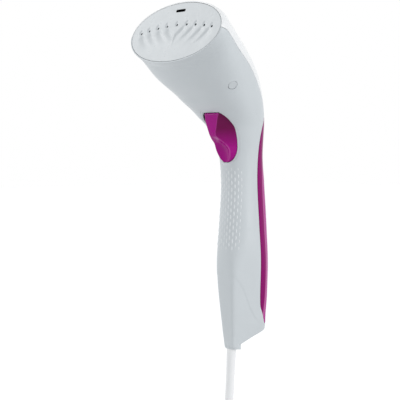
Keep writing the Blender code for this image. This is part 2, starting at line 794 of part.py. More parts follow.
def switch(look, metal, dark):
    """The microswitch, its lever and the bracket that holds it."""
    bm = bmesh.new()
    add_box(bm, (-11 * MM, -5.0 * MM, 39 * MM), (11 * MM, -3.0 * MM, 66.5 * MM))
    bracket = as_object("switch_bracket", bm)
    arm = bmesh.new()
    add_box(arm, (-6 * MM, -5.6 * MM, 65 * MM), (6 * MM, -3.4 * MM, 79 * MM))
    add_rod(arm, (0, -5.0 * MM, 72 * MM), (0, -13.5 * MM, 72 * MM), 1.7 * MM, 12)
    combine(bracket, cutter("bracket_arm", arm), "UNION")
    finish(bracket, look)
    block("microswitch", (-3.2 * MM, -11.2 * MM, 42 * MM), (3.2 * MM, -5.4 * MM, 62 * MM), dark, bevel=0.4 * MM)
    lever = bmesh.new()
    add_box(lever, (-2.2 * MM, -1.0 * MM, -15.6 * MM), (2.2 * MM, -0.5 * MM, 0.8 * MM))
    arm_obj = as_object("switch_lever", lever, at=LEVER_AXIS, turn=(LEVER_REST, 0, 0))
    finish(arm_obj, metal)


def electronics(board, dark, brass):
    """The control board with its relay and the terminal block in the foot."""
    block("circuit_board", (-4.5 * MM, -4.8 * MM, -8 * MM), (14.5 * MM, -3.2 * MM, 34 * MM), board)
    block("relay", (-2 * MM, -15.1 * MM, 2 * MM), (12 * MM, -5.1 * MM, 20 * MM), dark, bevel=0.5 * MM)
    turned(
        "capacitor",
        ((3.6 * MM, 0.0), (4.0 * MM, 0.5 * MM), (4.0 * MM, 9.5 * MM), (3.6 * MM, 10.0 * MM)),
        dark,
        at=(5 * MM, -5.1 * MM, 27 * MM),
        turn=(math.pi / 2, 0, 0),
        steps=18,
    )
    block("terminal_block", (-8 * MM, -14 * MM, -136 * MM), (8 * MM, -5 * MM, -127 * MM), brass, bevel=0.5 * MM)


def pump(metal, dark, rubber):
    """The pump, its bracket and its two hoses."""
    axis_y = -14.0 * MM
    turned(
        "pump_body",
        (
            (2.0 * MM, -66 * MM),
            (2.0 * MM, -60 * MM),
            (8.6 * MM, -60 * MM),
            (9.2 * MM, -59 * MM),
            (9.2 * MM, -27 * MM),
            (8.6 * MM, -26 * MM),
            (5.0 * MM, -26 * MM),
            (5.0 * MM, -20 * MM),
            (2.0 * MM, -20 * MM),
            (2.0 * MM, -15 * MM),
        ),
        dark,
        at=(0, axis_y, 0),
        steps=24,
    )
    turned(
        "pump_bracket",
        ((9.6 * MM, -52 * MM), (11.4 * MM, -52 * MM), (11.4 * MM, -34 * MM), (9.6 * MM, -34 * MM)),
        metal,
        at=(0, axis_y, 0),
        closed=True,
        steps=24,
    )
    inlet = (
        (0, -14.2, -108.0),
        (0, -16.5, -107.8),
        (0, -19.0, -104.0),
        (0, -17.5, -92.0),
        (0, -14.4, -78.0),
        (0, -14.0, -66.4),
    )
    tube("pump_inlet_hose", bend_through(inlet, 14), 2.6 * MM, rubber, roundness=1)
    outlet = (
        (0, -14.0, -14.2),
        (-0.4, -13.9, -11.0),
        (-8.6, -9.0, 2.0),
        (-10.4, -8.0, 22.0),
        (-14.2, -8.0, 44.0),
        (-15.5, -9.6, 66.0),
        (-19.0, -14.0, 90.0),
        (-21.5, -30.0, 116.0),
        (-22.0, -52.0, 141.0),
        (-22.0, -63.5, 155.0),
        (-22.0, -70.6, 162.6),
    )
    tube("pump_outlet_hose", bend_through(outlet, 30), 2.4 * MM, rubber, roundness=1)


def wiring(red, blue):
    """Leads from the terminal block to the board, and from the board up to the heater."""
    for side, label, look in ((1, "live", red), (-1, "neutral", blue)):
        supply = (
            (side * 6.0, -9.5, -126.6),
            (side * 8.4, -10.0, -118.0),
            (side * 12.4, -9.0, -100.0),
            (side * 15.2, -8.5, -60.0),
            (side * 14.6, -7.5, -25.0),
            (side * 13.6, -7.0, -11.0),
        )
        tube("supply_wire_" + label, bend_through(supply, 18), 1.0 * MM, look, roundness=1)
        heater = (
            (side * 13.5 if side > 0 else -16.2, -11.0, 36.4),
            (side * 17.2, -13.0, 52.0),
            (side * 18.5, -13.0, 70.0),
            (side * 24.0, -20.0, 96.0),
            (side * 32.0, -36.0, 122.0),
            (side * 38.0, -56.0, 142.0),
            (side * 40.0, -64.5, 151.5),
        )
        tube("heater_wire_" + label, bend_through(heater, 22), 1.0 * MM, look, roundness=1)


def oval(bm, rows, steps=48, closed=False):
    """Adds a body of oval rings, each given as an offset from the plate's seam and a height, to a bmesh."""
    rings = []
    for offset, height in rows:
        ring = []
        for k in range(steps):
            angle = 2 * math.pi * k / steps
            x = (PLATE_HALF_X + offset) * math.cos(angle)
            y = (PLATE_HALF_Y + offset) * math.sin(angle)
            ring.append(bm.verts.new((x, y, height)))
        rings.append(ring)
    pairs = list(zip(rings, rings[1:]))
    if closed:
        pairs.append((rings[-1], rings[0]))
    for lower, upper in pairs:
        for k in range(steps):
            n = (k + 1) % steps
            bm.faces.new((lower[k], lower[n], upper[n], upper[k]))
    if not closed:
        bm.faces.new(rings[0][::-1])
        bm.faces.new(rings[-1])


def steam_hole_places():
    """The steam holes: an arc of holes across the plate, even on both sides."""
    places = []
    for s in STEAM_HOLES:
        y = HOLE_ARC_TOP - HOLE_ARC_DROP * (s / STEAM_HOLES[-1]) ** 2
        places += [(s, y)] if s == 0 else [(-s, y), (s, y)]
    return places


def steam_head(plate_frame, looks):
    """The plate, its seal and everything behind it that makes steam, in the plate's own frame."""
    bm = bmesh.new()
    oval(bm, ((-1.5 * MM, 0.0), (-0.7 * MM, -0.8 * MM), (-0.7 * MM, -PLATE_THICK)))
    plate = finish(as_object("steam_plate", bm), looks["plate"], parent=plate_frame)
    holes = bmesh.new()
    for x, y in steam_hole_places():
        add_rod(holes, (x, y, -6 * MM), (x, y, 3 * MM), HOLE_RADIUS, 12)
    combine(plate, cutter("plate_holes", holes, plate_frame), "DIFFERENCE")
    slot = bmesh.new()
    ends = []
    for side in (1, -1):
        for k in range(7):
            angle = math.pi * (k / 6 - 0.5)
            x = side * (SLOT_HALF + SLOT_RADIUS * math.cos(angle))
            ends.append((x, SLOT_Y + side * SLOT_RADIUS * math.sin(angle)))
    loft(slot, [[Vector((x, y, z)) for x, y in ends] for z in (-5 * MM, 3 * MM)])
    combine(plate, cutter("plate_slot", slot, plate_frame), "DIFFERENCE")

    bm = bmesh.new()
    oval(
        bm,
        ((0.0, -0.5 * MM), (0.0, -5.0 * MM), (-0.4 * MM, -5.0 * MM), (-0.4 * MM, -0.5 * MM)),
        closed=True,
    )
    finish(as_object("plate_seal", bm), looks["rubber"], parent=plate_frame)

    bm = bmesh.new()
    oval(bm, ((-6.0 * MM, -3.3 * MM), (-6.0 * MM, -14.0 * MM)), steps=40)
    chamber = finish(as_object("steam_chamber", bm), looks["casting"], parent=plate_frame)
    space = bmesh.new()
    oval(space, ((-10.0 * MM, -6.3 * MM), (-10.0 * MM, -16.0 * MM)), steps=32)
    combine(chamber, cutter("chamber_space", space, plate_frame), "DIFFERENCE")
    ports = bmesh.new()
    for x, y in steam_hole_places()[:7]:
        add_rod(ports, (x, y, -8 * MM), (x, y, -2 * MM), 1.6 * MM, 10)
    combine(chamber, cutter("chamber_ports", ports, plate_frame), "DIFFERENCE")

    bm = bmesh.new()
    oval(bm, ((-6.0 * MM, -14.3 * MM), (-6.0 * MM, -17.0 * MM)), steps=40)
    lid = finish(as_object("chamber_lid", bm), looks["casting"], parent=plate_frame)
    inlet = bmesh.new()
    add_rod(inlet, (-22 * MM, 0, -16 * MM), (-22 * MM, 0, -23 * MM), 3.4 * MM, 16)
    combine(lid, cutter("inlet_body", inlet, plate_frame), "UNION")
    bore = bmesh.new()
    add_rod(bore, (-22 * MM, 0, -12 * MM), (-22 * MM, 0, -25 * MM), 1.5 * MM, 10)
    combine(lid, cutter("inlet_bore", bore, plate_frame), "DIFFERENCE")

    arc = []
    for k in range(25):
        angle = math.radians(-62 + 304 * k / 24)
        arc.append(Vector((44 * MM * math.sin(angle), 15.5 * MM * math.cos(angle), -20.4 * MM)))
    tube("heating_element", arc, 3.0 * MM, looks["steel"], plate_frame, roundness=1)
    turned(
        "thermostat",
        ((8.0 * MM, -17.3 * MM), (8.0 * MM, -21.0 * MM), (6.0 * MM, -21.4 * MM), (6.0 * MM, -26.0 * MM)),
        looks["dark"],
        parent=plate_frame,
        steps=24,
    )
    rod(
        "thermal_fuse",
        (13 * MM, 0, -20.0 * MM),
        (31 * MM, 0, -20.0 * MM),
        2.3 * MM,
        looks["steel"],
        plate_frame,
        sides=12,
    )
    bm = bmesh.new()
    oval(
        bm,
        ((-4.2 * MM, -3.4 * MM), (-4.2 * MM, -13 * MM), (-5.6 * MM, -13 * MM), (-5.6 * MM, -3.4 * MM)),
        steps=40,
        closed=True,
    )
    finish(as_object("heat_shield", bm), looks["steel"], parent=plate_frame)


def indicator_place():
    """Centre and outward direction of the indicator on the side of the head."""
    place, angle = 0.888, math.radians(66.0)
    at = skin_point(place, angle)
    along = skin_point(place + 0.01, angle) - skin_point(place - 0.01, angle)
    across = skin_point(place, angle + 0.05) - skin_point(place, angle - 0.05)
    out = across.cross(along).normalized()
    if out.x < 0:
        out = -out
    return at, out


def indicator(look, lit):
    """The indicator lens, flush with the shell, and the lamp behind it."""
    at, out = indicator_place()
    rod("indicator_lens", at - out * 2.6 * MM, at - out * 0.1 * MM, 4.9 * MM, look, sides=28)
    rod("indicator_lamp", at - out * 7.5 * MM, at - out * 3.0 * MM, 2.4 * MM, lit, sides=14, end_radius=1.4 * MM)


def cord(white, brass, black):
    """The strain relief with its clamp, the lead, the coil of the rest of it, its tie and the plug."""
    turned(
        "strain_relief",
        (
            (4.6 * MM, 0.0),
            (5.0 * MM, -0.6 * MM),
            (5.0 * MM, -17.0 * MM),
            (5.15 * MM, -17.6 * MM),
            (4.95 * MM, -41.0 * MM),
            (4.5 * MM, -RELIEF_LENGTH),
        ),
        white,
        at=RELIEF_TOP,
        turn=(RELIEF_LEAN, 0, 0),
        steps=24,
    )
    bm = bmesh.new()
    add_box(bm, (-7.6 * MM, -11.5 * MM, -148.8 * MM), (7.6 * MM, -1.5 * MM, -142.4 * MM))
    clamp = as_object("cord_clamp", bm)
    saddle = bmesh.new()
    add_rod(saddle, (0, RELIEF_TOP.y, -152 * MM), (0, RELIEF_TOP.y, -139 * MM), 5.6 * MM, 24)
    for x in (-5.6 * MM, 5.6 * MM):
        add_rod(saddle, (x, -4.6 * MM, -152 * MM), (x, -4.6 * MM, -139 * MM), 1.4 * MM, 12)
    combine(clamp, cutter("clamp_saddle", saddle), "DIFFERENCE")
    finish(clamp, black)

    tube("mains_cord", bend_through(LEAD_ROUTE, 8), CORD_RADIUS, white, roundness=3)
    section = []
    for k in range(10):
        angle = 2 * math.pi * k / 10
        section.append((COIL_RADIUS + BUNDLE_RADIUS * math.cos(angle), BUNDLE_RADIUS * math.sin(angle)))
    turned("cord_coil", section, white, at=COIL_CENTRE, turn=(math.pi / 2, 0, 0), closed=True, steps=36)
    tie_at = COIL_CENTRE + Vector((math.cos(TIE_ANGLE), 0, math.sin(TIE_ANGLE))) * COIL_RADIUS
    band = (14.9 * MM, -5 * MM), (16.2 * MM, -5 * MM), (16.2 * MM, 5 * MM), (14.9 * MM, 5 * MM)
    turned("cord_tie", band, black, at=tie_at, turn=(0, -TIE_ANGLE, 0), closed=True, steps=28)

    top = COIL_CENTRE + Vector((COIL_RADIUS, 0, -48.4 * MM))
    bm = bmesh.new()
    rings = []
    for half_x, half_y, drop in (
        (5.6, 5.6, 0.0),
        (6.0, 6.0, 13.0),
        (9.0, 7.0, 16.0),
        (16.0, 10.5, 22.0),
        (18.2, 12.6, 30.0),
        (18.2, 12.6, 44.0),
    ):
        ring = []
        for k in range(20):
            angle = 2 * math.pi * k / 20
            square = (abs(math.cos(angle)) ** 3 + abs(math.sin(angle)) ** 3) ** (-1 / 3)
            x, y = half_x * square * math.cos(angle), half_y * square * math.sin(angle)
            ring.append(top + Vector((x * MM, y * MM, -drop * MM)))
        rings.append(ring)
    loft(bm, rings)
    finish(as_object("plug_body", bm), white)
    for name, side in (("plug_pin_live", 1), ("plug_pin_neutral", -1)):
        start = top + Vector((side * 9.5 * MM, 0, -44.3 * MM))
        rod(name, start, start + Vector((0, 0, -19 * MM)), 2.4 * MM, brass, sides=14)


def build():
    """Makes the whole steamer."""
    for obj in list(bpy.data.objects):
        bpy.data.objects.remove(obj)
    shell = paint("pale_grey_plastic", (0.58, 0.61, 0.63), 0.38)
    cover = paint("white_plastic", (0.84, 0.85, 0.85), 0.3)
    magenta = paint("magenta_clear_plastic", (0.35, 0.01, 0.14), 0.18, transmission=0.35)
    purple = paint("magenta_gloss_plastic", (0.30, 0.008, 0.12), 0.2)
    inner = paint("inner_plastic", (0.35, 0.35, 0.36), 0.55)
    black = paint("black_plastic", (0.03, 0.03, 0.03), 0.5)
    rubber = paint("seal_rubber", (0.12, 0.12, 0.13), 0.7)
    steel = paint("steel", (0.62, 0.62, 0.62), 0.3, 1.0)
    casting = paint("cast_aluminium", (0.55, 0.56, 0.57), 0.5, 1.0)
    plate = paint("plate_enamel", (0.60, 0.62, 0.63), 0.28)
    brass = paint("nickel_brass", (0.68, 0.63, 0.5), 0.3, 1.0)
    board = paint("board_laminate", (0.03, 0.22, 0.08), 0.5)
    lens = paint("lens_plastic", (0.62, 0.65, 0.67), 0.25)
    white = paint("cord_white", (0.85, 0.85, 0.86), 0.35)
    red = paint("wire_brown", (0.25, 0.08, 0.03), 0.5)
    blue = paint("wire_blue", (0.03, 0.1, 0.4), 0.5)

    plate_frame = frame("plate_frame", (0, PLATE_Y, PLATE_Z), (math.pi / 2 - PLATE_LEAN, 0, 0))
    sole_y = 6 * MM
    sole = frame("sole_frame", (0, sole_y, sole_height(sole_y)), (math.atan(SOLE_SLOPE), 0, 0))
    bpy.context.view_layer.update()

    front_shell(shell, sole)
    rear_cover(cover)
    water_tank(magenta)
    tank_door(purple, steel)
    handle_panel(inner)
    screws(steel)
    dock(rubber, inner)
    tank_release(shell, steel, sole)
    trigger(purple, steel, inner)
    switch(inner, steel, black)
    electronics(board, black, inner)
    pump(steel, black, rubber)
    wiring(red, blue)
    steam_head(
        plate_frame,
        {"plate": plate, "rubber": rubber, "casting": casting, "steel": steel, "dark": black},
    )
    indicator(lens, red)
    cord(white, brass, black)


build()
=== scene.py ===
import json
import math

import bmesh
import bpy
from mathutils import Matrix, Vector


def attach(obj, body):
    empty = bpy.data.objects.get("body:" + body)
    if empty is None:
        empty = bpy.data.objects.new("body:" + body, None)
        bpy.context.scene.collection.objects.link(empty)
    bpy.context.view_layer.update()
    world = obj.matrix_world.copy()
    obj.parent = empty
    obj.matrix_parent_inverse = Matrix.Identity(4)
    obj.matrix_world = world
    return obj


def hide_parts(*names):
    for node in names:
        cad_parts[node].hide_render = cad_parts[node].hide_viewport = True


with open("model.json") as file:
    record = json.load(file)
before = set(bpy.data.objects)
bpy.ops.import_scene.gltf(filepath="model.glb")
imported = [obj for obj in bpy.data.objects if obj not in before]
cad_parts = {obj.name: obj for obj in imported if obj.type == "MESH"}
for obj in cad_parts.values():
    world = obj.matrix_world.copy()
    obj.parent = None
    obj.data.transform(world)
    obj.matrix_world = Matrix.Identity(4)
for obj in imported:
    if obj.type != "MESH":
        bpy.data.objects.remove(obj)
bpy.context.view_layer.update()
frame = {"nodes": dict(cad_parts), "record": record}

MM = 0.001
GAP = 0.3 * MM

# The housing's outer skin, in millimetres: place along the body, forward, height, forward tilt in degrees,
# reach to the front, reach to the back, half width, squareness of the front half and of the back half
STATIONS = (
    (0.00, 0.5, -165.0, 0.0, 28.5, 26.5, 20.0, 2.3, 2.3),
    (0.06, 0.8, -145.0, 0.0, 30.0, 26.4, 21.5, 2.3, 2.3),
    (0.12, 0.8, -128.0, 0.0, 32.0, 26.0, 22.9, 2.3, 2.3),
    (0.20, 0.5, -105.0, 0.0, 33.0, 27.2, 24.4, 2.3, 2.3),
    (0.30, 0.3, -72.0, 0.0, 31.2, 28.6, 24.5, 2.3, 2.3),
    (0.42, 0.0, -25.0, 0.0, 27.3, 27.3, 21.9, 2.3, 2.3),
    (0.55, 0.2, 18.0, 0.0, 24.8, 24.6, 20.2, 2.3, 2.3),
    (0.65, 1.8, 50.0, 0.0, 24.6, 21.0, 22.6, 2.4, 2.3),
    (0.73, 6.0, 78.0, 5.0, 29.5, 22.6, 29.2, 2.8, 2.3),
    (0.80, 18.2, 102.0, 20.0, 30.0, 26.6, 40.0, 3.2, 2.3),
    (0.87, 39.0, 130.0, 40.0, 35.4, 33.6, 50.5, 2.8, 2.2),
    (0.94, 69.0, 154.0, 56.0, 34.8, 35.6, 64.0, 2.4, 2.1),
    (1.00, 93.4, 175.3, 69.5, 35.8, 35.8, 72.2, 2.0, 2.0),
    (1.03, 99.0, 177.4, 69.5, 34.8, 34.8, 71.4, 2.0, 2.0),
)
# Where the front shell ends: place along the body, degrees from the front
PARTING = (
    (0.092, 132.0),
    (0.138, 121.0),
    (0.163, 114.0),
    (0.21, 109.0),
    (0.28, 105.0),
    (0.37, 101.0),
    (0.50, 98.5),
    (0.61, 97.0),
    (0.67, 99.0),
    (0.71, 102.0),
    (0.735, 106.5),
    (0.76, 114.0),
    (0.78, 112.0),
    (0.80, 109.5),
    (0.83, 104.5),
    (0.856, 101.5),
    (0.88, 99.0),
    (0.933, 94.0),
    (0.96, 92.0),
    (1.00, 90.0),
    (1.03, 90.0),
)
FOOT_TOP = 0.092
TANK_TOP = 0.76
RIM = 1.03
WALL = 1.3 * MM
BAND = 0.981
BAND_STEP = 0.35 * MM
EDGE = 0.45 * MM
FRONT_COLUMNS = 96
REAR_COLUMNS = 72

# The foot's flat front and its two flat sides
FACET_TOP = -80.0
FACET_BOTTOM = -160.0
FACET_FRONT = (29.4, 22.4)
FACET_HALF = (14.2, 7.6)
FACET_SPLAY = 0.25
FACET_SHARPNESS = 16
FACET_STEP = 0.35 * MM
FACET_ARC = (-78.0, -132.0)
SOLE_MIDDLE = -152.0
SOLE_SLOPE = 0.5
SOLE_DROP = 15.0 * MM
SOLE_ROUND = 1.5 * MM

# The collar round the lead, with its outline behind the lead as rise and growth in millimetres
BOSS_BOTTOM = -162.6 * MM
BOSS_SLANT = 1.6
BOSS_PROFILE = (
    (0.0, -0.55),
    (0.35, -0.15),
    (0.9, 0.0),
    (3.0, 0.0),
    (4.6, 0.5),
    (6.2, 1.3),
    (7.6, 2.2),
    (8.8, 3.1),
    (10.5, 3.3),
)

# The pad under the tank's release
PAD_HALF = (5.6, 5.8)
PAD_Y = 7.0 * MM
PAD_PROUD = 0.9

# The raised dots on the grip, in millimetres
DOT_TOP = 34.0
DOT_BOTTOM = -54.0
DOT_PITCH = 7.4
DOT_COLUMN = 3.7
DOT_LENGTH = 6.2
DOT_WIDTH = 2.1
DOT_HEIGHT = 0.6
DOT_SPAN = 5

# The steam plate
PLATE_CENTRE = Vector((0.0, -99.0 * MM, 177.4 * MM))
PLATE_TURN = math.radians(90.0 - 20.5)
PLATE_HALF_X = 69.0 * MM
PLATE_HALF_Y = 32.6 * MM
PLATE_THICK = 3.0 * MM
PLATE_GROW = 0.5 * MM
STEAM_HOLES = (0.0, 15.3, 29.6, 43.4, 55.6)
HOLE_RADIUS = 1.25
HOLE_ARC_TOP = 8.0
HOLE_ARC_DROP = 5.8
SLOT_Y = 24.3
SLOT_HALF = 6.0
SLOT_RADIUS = 1.6
GROOVE_TURN = math.radians(40.0)
GROOVE_DEPTH = 1.0
GROOVE_LENGTH = 36.0
SHADE_TOP = -0.95 * MM

# The trigger from top to bottom, in millimetres: height, half width, forward edge at the side, half width and
# forward reach of the ridge, forward reach at the middle
TRIGGER = (
    (94.5, 11.6, 46.6, 10.6, 47.6, 47.4),
    (92.0, 15.5, 42.6, 10.0, 47.9, 47.9),
    (87.0, 19.0, 37.4, 9.0, 47.9, 47.9),
    (80.0, 20.0, 33.0, 7.2, 47.3, 47.3),
    (73.0, 19.2, 30.0, 5.0, 46.4, 46.6),
    (70.0, 18.5, 28.5, 4.6, 45.2, 45.2),
    (66.0, 17.5, 26.8, 6.2, 41.0, 39.0),
    (62.0, 16.3, 25.2, 8.2, 35.6, 32.2),
    (55.0, 14.3, 22.8, 10.4, 31.0, 27.4),
    (48.0, 11.4, 22.6, 8.6, 28.4, 26.0),
    (44.0, 7.9, 23.8, 6.0, 27.0, 25.6),
    (41.8, 3.6, 25.0, 2.6, 25.8, 25.4),
)
TRIGGER_BACK = 17.0
TRIGGER_BACK_SLOPE = 0.2
TRIGGER_CLEARANCE = 0.45
TRIGGER_ROUND = 0.9
LIP_WIDTH = 1.9 * MM
LIP_STEP = 0.4 * MM

# The tank
TANK_FRONT_Y = 0.2 * MM
TANK_LIP = 2.7 * MM
TANK_ROUND = 0.7 * MM
FILLER_Z = 50.0 * MM
FILLER_HALF = 9.0 * MM
DOOR_TOP_DROP = 0.6 * MM

# The mains lead
CORD_RADIUS = 4.7 * MM
RELIEF_TOP = Vector((0.0, -16.3 * MM, -146.0 * MM))
RELIEF_LEAN = math.radians(-3.4)
RELIEF_END = 42.36
LEAD_ROUTE = (
    (0.0, -18.8, -188.3),
    (0.0, -20.0, -207.0),
    (0.0, -21.0, -222.0),
    (2.4, -22.2, -238.0),
    (6.6, -23.7, -246.0),
)
COIL_CENTRE = Vector((0.0, -16.0 * MM, -315.0 * MM))
COIL_RADIUS = 52.0 * MM
# The coil's turns, as steps out from the middle of the bundle and back from it, in cord diameters
COIL_LANES = ((0.5, -0.86), (-0.5, -0.86), (-0.99, 0.0), (-0.5, 0.86), (0.5, 0.86), (0.0, 0.0))
TIE_ANGLE = math.radians(150.0)

# The camera, level with the middle of the handle and to its front right
CAMERA_AZIMUTH = math.radians(48.0)
CAMERA_ELEVATION = math.radians(2.2)
CAMERA_DISTANCE = 1.336
CAMERA_ASIDE = -0.0473
VIEW_WIDTH = 0.440
FLOOR_Z = -0.45
WORLD_LIGHT = 0.8
FLOOR_GLOW = 0.38
FLOOR_GLOW_NEAR = 0.1

# Colours of the outer pieces
SHELL_COLOUR = (0.60, 0.635, 0.655)
# The grip dots: the shell's grey made lighter, as a painted highlight
DOT_HIGHLIGHT_COLOUR = (0.74, 0.77, 0.785)
COVER_COLOUR = (0.84, 0.85, 0.855)
MAGENTA = (0.37, 0.002, 0.225)
# Painted shade on the trigger's upper side faces, standing for a dark reflection
MAGENTA_PAINTED_SHADE = (0.15, 0.001, 0.065)
# Painted highlight along the trigger's ridges
MAGENTA_PAINTED_HIGHLIGHT = (0.56, 0.10, 0.38)
TANK_DEEP = (0.25, 0.0, 0.13)
# Painted highlight over the tank's back
TANK_BACK_HIGHLIGHT = (0.42, 0.03, 0.26)
# Painted highlight band on the tank, where its sides turn to the back
TANK_STREAK_HIGHLIGHT = (0.56, 0.16, 0.38)


# ---------------------------------------------------------------- camera, light and floor


def make_camera():
    """The camera at the photograph's viewing angle."""
    cos_a, sin_a = math.cos(CAMERA_AZIMUTH), math.sin(CAMERA_AZIMUTH)
    cos_e, sin_e = math.cos(CAMERA_ELEVATION), math.sin(CAMERA_ELEVATION)
    right = Vector((cos_a, sin_a, 0.0))
    back = Vector((cos_e * sin_a, -cos_e * cos_a, sin_e))
    data = bpy.data.cameras.new("camera")
    data.lens = data.sensor_width * CAMERA_DISTANCE / VIEW_WIDTH
    data.clip_start = 0.05
    data.clip_end = 40.0
    camera = bpy.data.objects.new("camera", data)
    bpy.context.scene.collection.objects.link(camera)
    camera.rotation_mode = "QUATERNION"
    camera.location = right * CAMERA_ASIDE + back * CAMERA_DISTANCE
    camera.rotation_quaternion = (-back).to_track_quat("-Z", "Y")
    bpy.context.scene.camera = camera


def shown_rays(nodes, links):
    """A value that is 1 on camera, glossy and transmission rays, and 0 on the rays that light surfaces."""
    path = nodes.new("ShaderNodeLightPath")
    total = path.outputs["Is Camera Ray"]
    for name in ("Is Glossy Ray", "Is Transmission Ray"):
        adder = nodes.new("ShaderNodeMath")
        adder.operation = "MAXIMUM"
        links.new(total, adder.inputs[0])
        links.new(path.outputs[name], adder.inputs[1])
        total = adder.outputs[0]
    return total


def make_world():
    """A white surround that lights the object softly."""
    world = bpy.data.worlds.new("studio")
    bpy.context.scene.world = world
    world.use_nodes = True
    nodes, links = world.node_tree.nodes, world.node_tree.links
    shown = nodes["Background"]
    shown.inputs["Color"].default_value = (1.0, 1.0, 1.0, 1.0)
    shown.inputs["Strength"].default_value = 1.0
    lighting = nodes.new("ShaderNodeBackground")
    lighting.inputs["Color"].default_value = (0.96, 0.98, 1.0, 1.0)
    lighting.inputs["Strength"].default_value = WORLD_LIGHT
    blend = nodes.new("ShaderNodeMixShader")
    links.new(shown_rays(nodes, links), blend.inputs["Fac"])
    links.new(lighting.outputs[0], blend.inputs[1])
    links.new(shown.outputs[0], blend.inputs[2])
    links.new(blend.outputs[0], nodes["World Output"].inputs["Surface"])


def make_lamp(name, place, aim, size, power, colour=(1.0, 1.0, 1.0)):
    """A soft square lamp that shines from a place towards a point."""
    data = bpy.data.lights.new(name, "AREA")
    data.shape = "RECTANGLE"
    data.size, data.size_y = size
    data.energy = power
    data.color = colour
    lamp = bpy.data.objects.new(name, data)
    bpy.context.scene.collection.objects.link(lamp)
    lamp.location = place
    lamp.rotation_mode = "QUATERNION"
    lamp.rotation_quaternion = (Vector(aim) - Vector(place)).to_track_quat("-Z", "Y")


def make_floor():
    """A plain pale floor under the hanging coil."""
    bm = bmesh.new()
    bmesh.ops.create_grid(bm, x_segments=4, y_segments=4, size=14.0)
    bmesh.ops.translate(bm, verts=bm.verts, vec=(0, 0, FLOOR_Z))
    floor = as_object("floor", bm)
    look = bpy.data.materials.new("floor")
    look.use_nodes = True
    nodes, links = look.node_tree.nodes, look.node_tree.links
    shader = nodes["Principled BSDF"]
    shader.inputs["Base Color"].default_value = (0.8, 0.8, 0.8, 1.0)
    shader.inputs["Roughness"].default_value = 0.9
    shader.inputs["Emission Color"].default_value = (1.0, 1.0, 1.0, 1.0)
    scale = nodes.new("ShaderNodeMath")
    scale.operation = "MULTIPLY"
    away = nodes.new("ShaderNodeVectorMath")
    away.operation = "LENGTH"
    links.new(nodes.new("ShaderNodeTexCoord").outputs["Object"], away.inputs[0])
    glow = ranged(nodes, links, away.outputs["Value"], FLOOR_GLOW_NEAR, FLOOR_GLOW, 0.6, 1.2)
    links.new(shown_rays(nodes, links), scale.inputs[0])
    links.new(glow, scale.inputs[1])
    links.new(scale.outputs[0], shader.inputs["Emission Strength"])
    floor.data.materials.append(look)


# ---------------------------------------------------------------- mesh helpers


def as_object(name, bm):
    """Turns a bmesh into an object."""
    mesh = bpy.data.meshes.new(name)
    bm.to_mesh(mesh)
    bm.free()
    obj = bpy.data.objects.new(name, mesh)
    bpy.context.scene.collection.objects.link(obj)
    return obj


def dress(obj, look, body, sharp=40.0):
    """Gives a piece its material, smooth shading and body."""
    obj.data.materials.clear()
    obj.data.materials.append(look)
    if obj.type == "MESH":
        obj.data.shade_smooth()
        obj.data.set_sharp_from_angle(angle=math.radians(sharp))
    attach(obj, body)
    return obj


def sheet_of(bm, rows, wrap=False):
    """Adds a sheet of quads over rows of points, and returns its rows of vertices."""
    made = [[bm.verts.new(p) for p in row] for row in rows]
    for low, high in zip(made, made[1:]):
        count = len(low)
        for k in range(count if wrap else count - 1):
            n = (k + 1) % count
            bm.faces.new((low[k], low[n], high[n], high[k]))
    return made


def closed_loft(bm, rings, ends=True):
    """Adds rings joined into a tube, with its ends closed if wanted."""
    made = sheet_of(bm, rings, wrap=True)
    if ends:
        bm.faces.new(made[0][::-1])
        bm.faces.new(made[-1])
    return made


def close_loop(bm, made):
    """Joins a tube's last ring to its first."""
    count = len(made[0])
    for k in range(count):
        n = (k + 1) % count
        bm.faces.new((made[-1][k], made[-1][n], made[0][n], made[0][k]))


def add_rod(bm, start, end, radius, sides=48):
    """Adds a closed cylinder from one point to another."""
    start, end = Vector(start), Vector(end)
    along = end - start
    place = Matrix.Translation((start + end) / 2) @ along.to_track_quat("Z", "Y").to_matrix().to_4x4()
    bmesh.ops.create_cone(
        bm, cap_ends=True, segments=sides, radius1=radius, radius2=radius, depth=along.length, matrix=place
    )


def turned_rings(profile, steps=48):
    """Rings round Z through radius and height pairs."""
    angles = [2 * math.pi * k / steps for k in range(steps)]
    return [[Vector((r * math.cos(a), r * math.sin(a), z)) for a in angles] for r, z in profile]


def outward(bm):
    """Points every face of a closed mesh outwards."""
    bmesh.ops.remove_doubles(bm, verts=bm.verts, dist=0.000002)
    bmesh.ops.recalc_face_normals(bm, faces=bm.faces)


def face_out(bm):
    """Points an open sheet's faces away from the middle plane."""
    bmesh.ops.recalc_face_normals(bm, faces=bm.faces)
    if sum(f.calc_area() * f.normal.x * f.calc_center_median().x for f in bm.faces) < 0:
        bmesh.ops.reverse_faces(bm, faces=bm.faces)


def apply_modifiers(obj):
    """Fixes an object's modifiers into its mesh."""
    bpy.context.view_layer.update()
    graph = bpy.context.evaluated_depsgraph_get()
    fixed = bpy.data.meshes.new_from_object(obj.evaluated_get(graph), depsgraph=graph)
    obj.modifiers.clear()
    obj.data = fixed
    return obj


def cut(obj, bm):
    """Cuts a closed mesh out of an object."""
    outward(bm)
    tool = as_object("tool", bm)
    step = obj.modifiers.new("cut", "BOOLEAN")
    step.object = tool
    step.operation = "DIFFERENCE"
    step.solver = "EXACT"
    apply_modifiers(obj)
    bpy.data.objects.remove(tool)
    return obj


